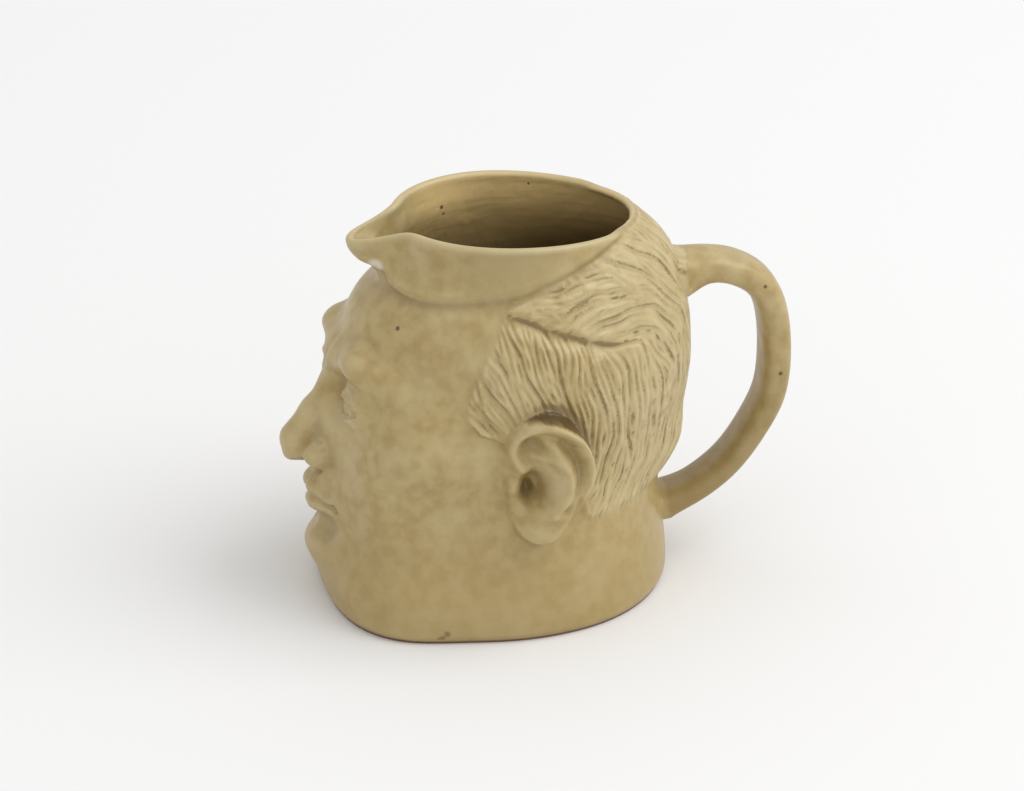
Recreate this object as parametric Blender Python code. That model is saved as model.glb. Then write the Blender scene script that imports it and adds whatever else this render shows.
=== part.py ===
"""Toby jug: a glazed stoneware jug in the shape of a head, one hollow casting with a loop handle.

The jug stands on z = 0. The face looks along -Y, the handle is behind at +Y, and +X is the
head's left. The head is worked out as a distance field in parts, of which the jug is
HEIGHT_IN_PARTS tall, and its wall, lip, floor, foot and handle have sizes of their own.
"""
import math

import bpy
import bmesh
import numpy as np

# Driving sizes, in metres
JUG_HEIGHT = 0.1268        # table to the highest point of the rim
WALL = 0.0052              # thickness of the body
LIP = 0.0029               # thickness of the rounded rim
LIP_TAPER = 0.013          # depth below the rim over which the lip thickens to the wall
FLOOR = 0.0058             # thickness of the bottom
INNER_FILLET = 0.011       # rounding between the inner wall and the floor
FOOT_ROUND = 0.0014        # how far the outside rounds in to the foot
FOOT_RING = 0.0065         # width of the flat ring the jug stands on
FOOT_RECESS = 0.0012       # depth of the hollow inside the foot ring
HANDLE_REACH = 0.0916      # axis of the jug to the back of the handle
HANDLE_HIGH = 0.0993       # height of the handle's middle where it leaves the head
HANDLE_LOW = 0.0186        # height of the handle's middle where it comes back
HANDLE_THICK = 0.0097      # handle from its inner to its outer side, over most of its length
HANDLE_THIN = 0.0080       # the same where the handle runs back into the neck
HANDLE_WIDTH = 0.0162      # handle from side to side
ROOT_FLARE = 0.0030        # what the handle gains on every side at its upper root
ROOT_FLARE_LOW = 0.0014    # what it gains at its lower root
ROOT_LENGTH = 0.0130       # stretch over which it flares
HAIR_RISE = 0.0011         # how far the hair stands over the skin
LOCK_PITCH = 0.0062        # distance between broad locks of hair
LOCK_DEPTH = 0.0013        # depth of the valleys between them
PARTING_DEPTH = 0.0016     # depth of the parting above the left ear
SPOUT_HOLLOW = 0.0026      # depth of the hollow where the forehead runs in under the spout
COLLAR_STEP = 0.0014       # how far the collar under the rim stands over the head

# The head's own measure
HEIGHT_IN_PARTS = 126.8
PART = JUG_HEIGHT / HEIGHT_IN_PARTS
CHART_RADIUS = 47.0        # parts of arc for each radian when the hair is drawn flat
CHART_STEP = 1.0           # parts between two samples of the hair's relief

# Mesh
COLUMNS = 336
ROWS = 136
BODY_TRIANGLES = 8450
BELOW_TABLE = 1.5          # the casting runs this many parts too low and is then cut flat


def smooth(low, high, value):
    """0 below low, 1 above high, and an easy slope between."""
    t = np.clip((value - low) / (high - low), 0.0, 1.0)
    return t * t * (3.0 - 2.0 * t)


def ellipsoid(p, centre, radii):
    """Distance to an ellipsoid."""
    q = p - np.array(centre, float)
    r = np.array(radii, float)
    near = np.sqrt(((q / r) ** 2).sum(-1))
    far = np.sqrt(((q / r ** 2) ** 2).sum(-1))
    return near * (near - 1.0) / np.maximum(far, 1e-9)


def cone(p, a, b, radius_a, radius_b):
    """Distance to a rounded cone from a to b."""
    a = np.array(a, float)
    along = np.array(b, float) - a
    t = np.clip(((p - a) @ along) / (along @ along), 0.0, 1.0)
    gap = np.sqrt(((p - a - t[..., None] * along) ** 2).sum(-1))
    return gap - (radius_a + (radius_b - radius_a) * t)


def column(p, radius_x, radius_y, middle=0.0, power=2.0):
    """Distance to an upright column, round or squarish, whose radii may change with height."""
    x = np.abs(p[..., 0] / radius_x)
    y = np.abs((p[..., 1] - middle) / radius_y)
    q = (x ** power + y ** power) ** (1.0 / power)
    return (q - 1.0) * np.minimum(radius_x, radius_y)


def join(a, b, blend):
    """Union with a fillet."""
    h = np.maximum(blend - np.abs(a - b), 0.0) / blend
    return np.minimum(a, b) - h * h * blend * 0.25


def carve(a, b, blend):
    """Take b out of a, with a fillet."""
    return -join(-a, b, blend)


def skull(p, m):
    """Skull, neck and jaw. m is p with its left half mirrored on to its right."""
    z = p[..., 2]
    foot = FOOT_ROUND / PART * (1.0 - smooth(0.0, 4.0, z)) ** 2
    waist = 7.5 * smooth(6.0, 55.0, z)
    neck = column(p, 49.6 - foot - waist, 50.6 - foot - waist)
    neck = -join(-neck, 62.0 - z, 22.0)
    d = join(ellipsoid(p, (0, 2, 78), (44, 55, 50)), neck, 12.0)
    d = join(d, back_of_head(p), 4.0)
    d = join(d, ellipsoid(p, (0, -24, 54), (35.0, 35.5, 48)), 10.0)
    taper = 9.0 * smooth(8.0, 34.0, z)
    jaw = column(p, 47.5 - foot - taper, 40.5 - foot - taper, -20.0, 2.7)
    jaw = -join(-jaw, 34.0 - z, 14.0)
    d = join(d, jaw, 8.0)
    d = join(d, cone(m, (33, -4, 30), (14, -44, 17), 11, 9), 10.0)
    d = join(d, ellipsoid(m, (26.5, -32, 59), (12.5, 13.5, 11)), 14.0)
    return join(d, ellipsoid(m, (22, -36, 38), (13, 16, 18)), 10.0)


def back_of_head(p):
    """The full back of the head, from the nape nearly straight up and over to the rim."""
    x, y, z = p[..., 0], p[..., 1], p[..., 2]
    q = np.stack([x, np.where(y < 0, 2.0 * y, y), z], -1)
    nape = 9.5 * smooth(50.0, 24.0, z)
    over = np.sqrt(1.0 - np.clip((z - 84.0) / 47.3, 0.0, 0.97) ** 3.3)
    return column(q, (37.0 - nape) * over, (55.6 - nape) * over)


def brow_and_chin(d, p, m):
    """Brow ridge, temples, muzzle, chin and eye sockets."""
    d = join(d, cone(m, (3, -53.2, 80.8), (17, -50.2, 83.4), 3.6, 3.6), 7.0)
    d = join(d, cone(m, (17, -50.2, 83.4), (27, -42.6, 80.5), 3.6, 2.6), 8.0)
    d = carve(d, ellipsoid(m, (50, -30, 86), (9, 15, 13)), 9.0)
    d = join(d, ellipsoid(p, (0, -44, 36), (21, 19, 16)), 7.0)
    d = join(d, ellipsoid(p, (0, -53.0, 17.5), (13.5, 12.5, 9.5)), 8.0)
    return carve(d, ellipsoid(m, (15.5, -60, 73), (10.5, 9.0, 8.0)), 6.0)


def nose(d, p, m):
    """Straight nose with rounded tip and wings."""
    n = cone(p, (0, -52.5, 77), (0, -61.5, 62), 3.4, 4.6)
    n = join(n, cone(p, (0, -61.5, 62), (0, -66.6, 53.2), 4.6, 6.4), 3.0)
    n = join(n, cone(m, (2, -54, 70), (6.5, -57, 54), 4.0, 4.5), 5.0)
    n = join(n, ellipsoid(m, (7.8, -61.0, 51.0), (3.9, 6.0, 4.8)), 2.0)
    n = join(n, cone(p, (0, -69.5, 48.6), (0, -60, 46.6), 2.4, 3.0), 2.0)
    d = join(d, n, 4.0)
    return carve(d, ellipsoid(m, (4.6, -63.5, 45.6), (2.3, 4.4, 3.6)), 1.2)


def mouth(d, p, m):
    """Closed lips, the groove over them and the hollow over the chin."""
    d = join(d, cone(m, (2.2, -61.9, 37.6), (11.6, -56.0, 35.0), 3.5, 1.5), 2.2)
    d = join(d, cone(m, (1.4, -61.2, 30.2), (10.4, -56.4, 32.4), 4.1, 1.8), 2.2)
    d = carve(d, cone(m, (0, -66.3, 34.2), (12.6, -58.7, 33.8), 1.2, 0.7), 0.8)
    d = carve(d, ellipsoid(m, (13.6, -57.9, 33.7), (1.0, 1.0, 1.2)), 2.0)
    d = carve(d, cone(p, (0, -66.6, 46.0), (0, -66.6, 40.5), 1.7, 2.2), 2.0)
    return carve(d, cone(m, (0, -66.5, 24.2), (9, -61.5, 24.6), 4.0, 3.6), 5.0)


def eyes(d, m):
    """Calm open eyes: a ball behind two lids."""
    centre = (16.5, -45.6, 71.0)
    t = (m[..., 0] - 16.4) / 8.2
    middle = 70.6 + 0.5 * t
    upper = middle + 3.7 * (1.0 - np.abs(t) ** 2.3)
    lower = middle - 2.9 * (1.0 - np.abs(t) ** 2.0)
    gap = np.maximum(m[..., 2] - upper, lower - m[..., 2])
    lids = np.maximum(ellipsoid(m, centre, (10.9, 10.9, 10.9)), -gap)
    d = join(d, lids, 1.6)
    return np.minimum(d, ellipsoid(m, centre, (9.7, 9.7, 9.7)))


def collar_edge(degrees):
    """Height of the collar's lower edge, by angle from the face round to either side."""
    return np.interp(degrees, COLLAR_EDGE[:, 0], COLLAR_EDGE[:, 1])


def collar(d, p):
    """The smooth band under the rim, egg-shaped and drawn out into a spout at the front."""
    x, y, z = p[..., 0], p[..., 1], p[..., 2]
    reach = 14.5 * smooth(101.0, 119.0, z) * np.exp(-np.abs(x / 7.5) ** 3) * (y < 0)
    q = np.stack([x, np.where(y < 0, 1.12 * (y + reach), y), z], -1)
    flare = 1.4 * smooth(114.0, 126.0, z)
    band = column(q, 28.4 + flare, 38.6 + flare)
    return join(d, np.maximum(band, 90.0 - z), 5.0)


def head(p):
    """The whole head, without ears and hair."""
    m = np.stack([np.abs(p[..., 0]), p[..., 1], p[..., 2]], -1)
    d = brow_and_chin(skull(p, m), p, m)
    d = eyes(mouth(nose(d, p, m), p, m), m)
    return collar(d, p)


def cast(field, angle, z, reach=110.0):
    """Radius of the field's surface about the upright axis, for each angle and height."""
    r = np.full(angle.shape, reach)
    toward_x, toward_y = np.sin(angle), -np.cos(angle)
    live = np.ones(angle.shape, bool)
    for _ in range(60):
        i = np.nonzero(live)
        d = field(np.stack([r[i] * toward_x[i], r[i] * toward_y[i], z[i]], -1))
        r[i] = np.maximum(r[i] - np.clip(0.75 * d, 0.0, 12.0), 4.0)
        live[i] = d > 0.02
        if not live.any():
            break
    return r


def smooth_line(points, steps=8):
    """Points on a Catmull-Rom curve through a few given ones."""
    p = np.array(points, float)
    p = np.concatenate([2 * p[:1] - p[1:2], p, 2 * p[-1:] - p[-2:-1]])
    out = []
    for i in range(1, len(p) - 2):
        a, b, c, d = p[i - 1:i + 3]
        for t in np.arange(steps) / steps:
            out.append(0.5 * (2 * b + (c - a) * t + (2 * a - 5 * b + 4 * c - d) * t * t
                              + (3 * b - a - 3 * c + d) * t ** 3))
    out.append(p[-2])
    return np.array(out)


def to_line(u, v, line):
    """Distance from each point to a line, and how far along the line its nearest point is."""
    best = np.full(u.shape, 1e9)
    along = np.zeros(u.shape)
    for i in range(len(line) - 1):
        a, d = line[i], line[i + 1] - line[i]
        t = np.clip(((u - a[0]) * d[0] + (v - a[1]) * d[1]) / max(d @ d, 1e-9), 0.0, 1.0)
        gap = np.hypot(u - a[0] - t * d[0], v - a[1] - t * d[1])
        along = np.where(gap < best, (i + t) / (len(line) - 1), along)
        best = np.minimum(gap, best)
    return best, along


# The collar's lower edge: degrees from the face, and height
COLLAR_EDGE = smooth_line([(0, 113.5), (8, 112.3), (15, 108.8), (30, 107.9), (45, 108.7), (65, 110.2),
                           (85, 112.0), (100, 114.8), (117, 117.4), (135, 120.5), (150, 122.8),
                           (165, 125.0), (180, 126.0)])

# The ear, in parts from its own middle: first towards the back, then up
EAR_MIDDLE = (1.0, 55.4)
EAR_TILT = 0.10
EAR_RADII = (12.6, 15.8, 20.4, 15.0, 10.6, 12.4, 21.2, 12.8)
HELIX = smooth_line([(-2.0, 0.5), (-6.5, 3.0), (-9.0, 9.0), (-6.0, 16.0), (1.5, 18.6),
                     (8.0, 14.8), (11.2, 7.0), (10.6, -1.5), (7.6, -9.5), (4.5, -15.0)])
ANTIHELIX = smooth_line([(3.4, -10.5), (6.0, -5.5), (6.4, 0.5), (4.2, 6.5), (0.5, 12.5)])
LOWER_CRUS = smooth_line([(4.6, 5.5), (1.0, 7.2), (-3.0, 7.8)])
SCAPHA = smooth_line([(6.6, -9.5), (8.7, -3.5), (9.0, 3.0), (7.2, 9.0), (3.6, 14.0)])


def ear_outline(phi):
    """The ear's outline: a smooth closed curve through radii at even steps of angle."""
    wave = np.fft.rfft(np.array(EAR_RADII)) / len(EAR_RADII)
    total = np.full(np.shape(phi), wave[0].real)
    for k in range(1, len(wave)):
        share = 1.0 if 2 * k == len(EAR_RADII) else 2.0
        total = total + share * (wave[k].real * np.cos(k * phi) - wave[k].imag * np.sin(k * phi))
    return total


def ear(y, z):
    """How far the ear stands out from the side of the head."""
    back, up = y - EAR_MIDDLE[0], z - EAR_MIDDLE[1]
    b = back * math.cos(EAR_TILT) - up * math.sin(EAR_TILT)
    c = back * math.sin(EAR_TILT) + up * math.cos(EAR_TILT)
    inside = smooth(1.6, -1.4, np.hypot(b, c) - ear_outline(np.arctan2(c, b)))
    h = (1.2 + 7.8 * smooth(-11.0, 9.0, b)) * inside
    gap, along = to_line(b, c, HELIX)
    h = h + 3.0 * np.exp(-(gap / 2.0) ** 2) * smooth(0.0, 0.12, along) * smooth(1.0, 0.8, along)
    h = h + 2.7 * np.exp(-(to_line(b, c, ANTIHELIX)[0] / 1.9) ** 2)
    h = h + 1.2 * np.exp(-(to_line(b, c, LOWER_CRUS)[0] / 1.6) ** 2)
    concha = np.hypot((b + 1.6) / 4.9, (c + 4.2) / 8.0)
    canal = np.hypot((b + 3.2) / 2.4, (c + 6.6) / 3.4)
    fossa = np.hypot((b + 3.0) / 4.5, (c - 11.2) / 3.6)
    h = h - 5.8 * smooth(1.15, 0.25, concha) - 2.4 * smooth(1.2, 0.3, canal)
    h = h - 2.0 * smooth(1.2, 0.2, fossa)
    h = h - 1.6 * np.exp(-(to_line(b, c, SCAPHA)[0] / 1.3) ** 2)
    tragus = np.hypot((b + 8.2) / 2.4, (c + 4.0) / 3.2)
    antitragus = np.hypot((b - 1.0) / 2.6, (c + 11.4) / 2.2)
    lobe = np.hypot((b + 1.0) / 4.2, (c + 16.2) / 3.6)
    for bump, rise in ((tragus, 3.6), (antitragus, 2.2), (lobe, 2.6)):
        h = h + rise * np.exp(-bump ** 2)
    return h


# The hairline on either side: degrees from the face, and height
HAIRLINE = smooth_line([(118, 30), (112, 37), (108, 46), (97, 58), (74, 67), (66, 70), (62, 76),
                        (63, 81), (66.5, 87), (69, 92.5), (73, 98.5), (75, 101.5), (75, 104.5),
                        (78, 107.5), (83, 109.5), (95, 112), (110, 115)])
NAPE = 36.0
COLLAR_GAP = 2.0
RIM_GAP = 1.8

# The parting on the head's left: degrees from the face, and height
PARTING = smooth_line([(74, 105.2), (84, 104.0), (93, 101.6), (102, 98.9), (111, 96.3), (119, 94.2),
                       (129, 91.8)])

# How the hair is combed at a few places over and under the parting, and on the head's right:
# degrees from the face, height, and degrees from straight back, upwards counting as positive
OVER = ((95, 109, -1), (92, 107, 11), (100, 104, 18), (114, 104, 22), (127, 98, 15), (139, 98, -12),
        (118, 111, -1), (142, 112, -30), (139, 104, -17), (153, 96, -48), (155, 103, -56),
        (137, 92, -4), (148, 85, -66), (160, 87, -80), (165, 108, -75), (178, 95, -90))
UNDER = ((80, 94, -64), (74, 93, -61), (67, 78, -49), (91, 92, -70), (92, 75, -64), (102, 91, -88),
         (121, 86, -76), (136, 80, -80), (111, 72, -74), (121, 57, -94), (137, 59, -80),
         (134, 44, -118), (122, 42, -125), (155, 45, -105), (158, 70, -88), (148, 85, -66),
         (160, 87, -80), (178, 60, -90))
RIGHT = ((78, 104, -25), (95, 109, -22), (115, 110, -35), (140, 110, -55), (160, 108, -78),
         (80, 92, -48), (105, 95, -50), (130, 95, -68), (155, 90, -85), (66, 78, -50),
         (92, 75, -66), (115, 72, -82), (140, 65, -90), (121, 55, -94), (134, 44, -112),
         (155, 45, -100), (178, 80, -90), (178, 105, -90), (178, 50, -90))


def hair_cover(degrees, z):
    """1 where there is hair, 0 on bare skin, by signed degrees from the face and height."""
    side = np.abs(degrees)
    front = np.interp(z, HAIRLINE[:, 1], HAIRLINE[:, 0])
    cover = smooth(-1.2, 1.2, side - front) * smooth(-1.0, 1.5, z - NAPE)
    top = np.minimum(collar_edge(side) - COLLAR_GAP, rim_height(np.radians(degrees)) - RIM_GAP)
    return cover * smooth(-0.6, 1.2, top - z)


def over_parting(degrees, z):
    """Height over the line of the parting, which is on the head's left only."""
    return z - np.interp(degrees, PARTING[:, 0], PARTING[:, 1])


def combed(side, v, places):
    """Direction of the hair between the given places, the nearest counting most."""
    total_u, total_v = np.zeros(np.shape(side)), np.zeros(np.shape(side))
    for degrees, height, turn in places:
        gap = ((side - degrees) * math.radians(CHART_RADIUS)) ** 2 + (v - height) ** 2
        weight = 1.0 / (gap + 12.0) ** 2
        total_u = total_u + weight * math.cos(math.radians(turn))
        total_v = total_v + weight * math.sin(math.radians(turn))
    length = np.hypot(total_u, total_v)
    return np.stack([total_u / length, total_v / length])


def hair_flow(u, v):
    """Direction in which the hair is combed, at a point of the flat chart."""
    degrees = np.degrees(u / CHART_RADIUS)
    side = np.abs(degrees)
    above = smooth(-1.0, 1.0, over_parting(degrees, v)) * smooth(76.0, 80.0, v)
    left = combed(side, v, OVER) * above + combed(side, v, UNDER) * (1.0 - above)
    flow = np.where(degrees < 0.0, combed(side, v, RIGHT), left)
    length = np.hypot(flow[0], flow[1])
    return np.where(degrees < 0.0, -1.0, 1.0) * flow[0] / length, flow[1] / length


class HairChart:
    """The hair's relief on a flat chart: degrees round the head across, height up."""

    def __init__(self, step):
        self.step = step
        self.low = 30.0
        self.half = math.pi * CHART_RADIUS
        self.wide = int(2 * self.half / step) + 1
        self.high = int((HEIGHT_IN_PARTS - self.low) / step) + 1
        self.relief = np.zeros((self.high, self.wide))
        u = np.arange(self.wide) * step - self.half
        v = np.arange(self.high) * step + self.low
        self.u, self.v = np.meshgrid(u, v)
        self.cover = hair_cover(np.degrees(self.u / CHART_RADIUS), self.v)
        self.flow = np.stack(hair_flow(self.u, self.v), -1)

    def cells(self, u, v):
        """Row and column of a place on the chart."""
        column_at = np.clip(np.round((u + self.half) / self.step), 0, self.wide - 1)
        row_at = np.clip(np.round((v - self.low) / self.step), 0, self.high - 1)
        return row_at.astype(int), column_at.astype(int)

    def strands(self, pitch, longest, seed):
        """Evenly spaced strands, each traced along the flow until it meets another."""
        dice = np.random.default_rng(seed)
        taken = np.zeros(self.relief.shape, bool)
        size = int(0.75 * pitch / self.step) + 1
        offsets = np.array([(i, j) for i in range(-size, size + 1) for j in range(-size, size + 1)
                            if math.hypot(i, j) * self.step <= 0.75 * pitch])
        rows, columns = np.divmod(dice.permutation(taken.size), self.wide)
        hairy = self.cover[rows, columns] > 0.5
        lines = []
        for row, across in zip(rows[hairy][::7], columns[hairy][::7]):
            if taken[row, across]:
                continue
            start = (self.u[row, across], self.v[row, across])
            halves = [self.trace(*start, sign, longest / 2, taken) for sign in (-1.0, 1.0)]
            line = np.array(halves[0][::-1] + [start] + halves[1])
            if len(line) * self.step < 1.2 * pitch:
                continue
            row_at, column_at = self.cells(line[:, 0], line[:, 1])
            near_rows = np.clip(row_at[:, None] + offsets[:, 0], 0, self.high - 1)
            near_columns = np.clip(column_at[:, None] + offsets[:, 1], 0, self.wide - 1)
            taken[near_rows, near_columns] = True
            lines.append(line)
        return lines

    def trace(self, u, v, sign, longest, taken):
        """One end of a strand, in steps of the chart."""
        points = []
        for _ in range(int(longest / self.step)):
            row = min(max(round((v - self.low) / self.step), 0), self.high - 1)
            across = min(max(round((u + self.half) / self.step), 0), self.wide - 1)
            flow_u, flow_v = self.flow[row, across]
            u = u + sign * self.step * float(flow_u)
            v = v + sign * self.step * float(flow_v)
            row = min(max(round((v - self.low) / self.step), 0), self.high - 1)
            across = min(max(round((u + self.half) / self.step), 0), self.wide - 1)
            if abs(u) > self.half or self.cover[row, across] < 0.3 or taken[row, across]:
                break
            points.append((u, v))
        return points

    def groove(self, lines, width, depth):
        """Cut a rounded groove along every line, fading at its ends."""
        reach = int(width / self.step) + 1
        span = np.arange(-reach, reach + 1)
        up, across = [g.ravel() for g in np.meshgrid(span, span, indexing="ij")]
        cut = np.zeros_like(self.relief)
        for line in lines:
            fade = np.sin(np.linspace(0.12, math.pi - 0.12, len(line))) ** 0.5
            row_at, column_at = self.cells(line[:, 0], line[:, 1])
            row_near = np.clip(row_at[:, None] + up, 0, self.high - 1)
            column_near = np.clip(column_at[:, None] + across, 0, self.wide - 1)
            gap = np.hypot(column_near * self.step - self.half - line[:, :1],
                           row_near * self.step + self.low - line[:, 1:])
            shape = np.clip(1.0 - (gap / width) ** 2, 0.0, 1.0)
            np.maximum.at(cut, (row_near, column_near), depth * fade[:, None] * shape)
        self.relief -= cut

    def at(self, u, v):
        """Relief between the chart's samples."""
        x = np.clip((u + self.half) / self.step, 0, self.wide - 1.001)
        y = np.clip((v - self.low) / self.step, 0, self.high - 1.001)
        i, j = y.astype(int), x.astype(int)
        s, t = y - i, x - j
        top = self.relief[i + 1, j] * (1 - t) + self.relief[i + 1, j + 1] * t
        return (self.relief[i, j] * (1 - t) + self.relief[i, j + 1] * t) * (1 - s) + top * s


def hair(angle, z):
    """Relief of the hair, with broad locks and a parting on the head's left."""
    degrees = np.degrees(angle)
    cover = hair_cover(degrees, z)
    chart = HairChart(CHART_STEP)
    pitch = LOCK_PITCH / PART
    chart.groove(chart.strands(pitch, 9.0 * pitch, seed=4), 0.45 * pitch, LOCK_DEPTH / PART)
    h = HAIR_RISE / PART * cover
    h = h + cover * chart.at(angle * CHART_RADIUS, z)
    along = smooth(72, 79, degrees) * smooth(132, 122, degrees)
    furrow = np.exp(-(over_parting(degrees, z) / 1.6) ** 2) * along
    return h - PARTING_DEPTH / PART * furrow


def rim_height(angle):
    """The rim dips a little behind and at the tip of the spout."""
    behind = (0.5 - 0.5 * np.cos(angle)) ** 2
    spout = np.exp(-(angle / 0.22) ** 2)
    return HEIGHT_IN_PARTS - 3.4 * behind - 5.6 * spout


def outer_surface(angle, z):
    """Radius of the outside of the jug, with ears, hair and the collar's step."""
    r = cast(head, angle, z)
    x, y = r * np.sin(angle), -r * np.cos(angle)
    ears = ear(y, z) * smooth(26, 34, np.abs(x))
    r = r + ears + hair(angle, z) * smooth(1.2, 0.2, np.abs(ears))
    side = np.degrees(np.abs(angle))
    under_spout = np.exp(-((z - 105.0) / 3.6) ** 2) * smooth(52.0, 14.0, side)
    step = smooth(-0.9, 0.9, z - collar_edge(side))
    return r + COLLAR_STEP / PART * step - SPOUT_HOLLOW / PART * under_spout


def soften(r, passes):
    """Average each radius with its neighbours, round the jug and up and down."""
    for _ in range(passes):
        r = 0.5 * r + 0.25 * (np.roll(r, 1, axis=1) + np.roll(r, -1, axis=1))
        padded = np.concatenate([r[:1], r, r[-1:]])
        r = 0.5 * r + 0.25 * (padded[:-2] + padded[2:])
    return r


def column_angles(count):
    """Angles of the columns, closer together on the face and the ears."""
    fine = np.linspace(-math.pi, math.pi, 2001)
    side = np.degrees(np.abs(fine))
    weight = 1.0 + 0.9 * smooth(45, 15, side) + 1.5 * smooth(68, 78, side) * smooth(112, 100, side)
    total = np.concatenate([[0.0], np.cumsum(0.5 * (weight[1:] + weight[:-1]))])
    return np.interp(np.arange(count) / count, total / total[-1], fine)


def jug_rows():
    """Rings of the casting as radius and height: up the outside, over the lip, down inside."""
    angle = column_angles(COLUMNS)
    lip = LIP / PART
    top = rim_height(angle) - lip / 2
    share = np.linspace(0.0, 1.0, ROWS)[:, None]
    z = -BELOW_TABLE + (top + BELOW_TABLE) * share
    angle_grid = np.broadcast_to(angle, z.shape).copy()
    r = outer_surface(angle_grid, z)
    rings = list(zip(r, z))
    for turn in np.linspace(0.0, math.pi, 6)[1:-1]:
        rings.append((r[-1] - lip / 2 * (1 - math.cos(turn)), top + lip / 2 * math.sin(turn)))
    wall, fillet, floor = WALL / PART, INNER_FILLET / PART, FLOOR / PART
    even = soften(r, 26)
    lean = np.hypot(1.0, np.gradient(even, axis=0) / np.gradient(z, axis=0))
    lean = 1.0 + (np.minimum(lean, 1.5) - 1.0) * smooth(0.0, LIP_TAPER / PART, top - z)
    thick = lean * (lip + (wall - lip) * smooth(0.0, LIP_TAPER / PART, top - z))
    inner = soften(np.minimum(even - thick, r - 0.86 * thick), 6)
    inner[-1] = r[-1] - lip
    first = int(np.searchsorted(z[:, 0], floor + fillet))
    for i in range(ROWS - 1, first, -2):
        rings.append((inner[i], z[i]))
    for turn in np.linspace(0.0, math.pi / 2, 6):
        low = floor + fillet * (1 - math.sin(turn))
        rings.append((inner[first] - fillet * (1 - math.cos(turn)), np.full(COLUMNS, low)))
    last = rings[-1][0]
    for share in (0.75, 0.5, 0.25):
        rings.append((last * share, np.full(COLUMNS, floor)))
    return angle, rings


def closed_skin(name, rings, cap_first, cap_last):
    """A closed mesh through equal rings of points, with a cap point at each end."""
    count = len(rings[0])
    points = np.concatenate([np.array([cap_first]), np.concatenate(rings), np.array([cap_last])])
    last = len(points) - 1
    faces = []
    for j in range(count):
        k = (j + 1) % count
        faces.append((0, 1 + k, 1 + j))
        for i in range(len(rings) - 1):
            a, b = 1 + i * count, 1 + (i + 1) * count
            faces.append((a + j, a + k, b + k, b + j))
        end = 1 + (len(rings) - 1) * count
        faces.append((end + j, end + k, last))
    mesh = bpy.data.meshes.new(name)
    mesh.from_pydata(points.tolist(), [], faces)
    return face_outwards(mesh)


def face_outwards(mesh):
    """Turn every face of a closed mesh outwards."""
    bm = bmesh.new()
    bm.from_mesh(mesh)
    bmesh.ops.recalc_face_normals(bm, faces=bm.faces)
    bm.to_mesh(mesh)
    bm.free()
    return mesh


def add(name, mesh):
    """Put a mesh in the scene as a named object."""
    thing = bpy.data.objects.new(name, mesh)
    bpy.context.scene.collection.objects.link(thing)
    return thing


def casting():
    """The hollow head, still a little too long at its foot."""
    angle, rows = jug_rows()
    rings = []
    for r, z in rows:
        rings.append(np.stack([r * np.sin(angle), -r * np.cos(angle), z], -1) * PART)
    foot = (0.0, 0.0, -BELOW_TABLE * PART)
    floor = (0.0, 0.0, FLOOR)
    return add("toby_jug", closed_skin("toby_jug", rings, foot, floor))


def foot_outline(inset):
    """Outline of the foot on the table, moved inwards."""
    angle = np.linspace(-math.pi, math.pi, 64, endpoint=False)
    r = cast(head, angle, np.zeros(angle.shape)) * PART - inset
    return angle, r


def recess_cutter():
    """A flat plug of the foot's outline that hollows the underside inside the ring."""
    angle, r = foot_outline(FOOT_RING)
    flat = np.stack([r * np.sin(angle), -r * np.cos(angle)], -1)
    rings = [np.column_stack([flat, np.full(len(flat), z)]) for z in (-0.01, FOOT_RECESS)]
    mesh = closed_skin("recess_cutter", rings, (0.0, 0.0, -0.01), (0.0, 0.0, FOOT_RECESS))
    return guide(add("recess_cutter", mesh))


def table_cutter():
    """A slab whose top is the table, which cuts the foot flat."""
    wide, deep = 2.0 * JUG_HEIGHT, 0.02
    bm = bmesh.new()
    bmesh.ops.create_cube(bm, size=1.0)
    bmesh.ops.scale(bm, vec=(wide, wide, deep), verts=bm.verts)
    bmesh.ops.translate(bm, vec=(0.0, 0.0, -deep / 2), verts=bm.verts)
    mesh = bpy.data.meshes.new("table_cutter")
    bm.to_mesh(mesh)
    bm.free()
    return guide(add("table_cutter", mesh))


def guide(thing):
    """Mark a cutter, which is no piece of the jug."""
    thing.hide_render = True
    thing.display_type = "WIRE"
    return thing


def wall_behind(x, z):
    """Y of the head's back at each x and height, found by walking forwards from behind."""
    y = np.full(x.shape, 80.0)
    for _ in range(50):
        d = head(np.stack([x / PART, y, z / PART], -1))
        y = y - np.clip(0.8 * d, 0.0, 10.0)
    return y * PART


def handle_path():
    """Middle line of the handle in the plane x = 0, from its upper root to its lower one."""
    rise = HANDLE_HIGH - HANDLE_LOW
    far = HANDLE_REACH - HANDLE_THICK / 2
    start = float(wall_behind(np.zeros(1), np.full(1, HANDLE_HIGH))[0])
    end = float(wall_behind(np.zeros(1), np.full(1, HANDLE_LOW))[0])
    reach_high, reach_low = far - start, far - end
    points = [(start, HANDLE_HIGH)]
    for out, down in ((0.28, -0.02), (0.55, 0.0), (0.80, 0.065), (0.945, 0.175)):
        points.append((start + reach_high * out, HANDLE_HIGH - rise * down))
    points.append((far, HANDLE_HIGH - rise * 0.355))
    for out, down in ((0.965, 0.545), (0.81, 0.70), (0.59, 0.84), (0.31, 0.94)):
        points.append((end + reach_low * out, HANDLE_HIGH - rise * down))
    points.append((end, HANDLE_LOW))
    return smooth_line(points, 3)


def handle_ring(middle, tangent, thick, gain):
    """One cross-section: a rounded oblong across the handle's path."""
    turn = np.linspace(0.0, 2 * math.pi, 16, endpoint=False)
    across = np.sign(np.cos(turn)) * np.abs(np.cos(turn)) ** 0.72
    out = np.sign(np.sin(turn)) * np.abs(np.sin(turn)) ** 0.72
    side = (HANDLE_WIDTH / 2 + 0.5 * gain) * across
    normal = (thick / 2 + gain) * out
    return np.stack([side, middle[0] - tangent[1] * normal, middle[1] + tangent[0] * normal], -1)


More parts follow.
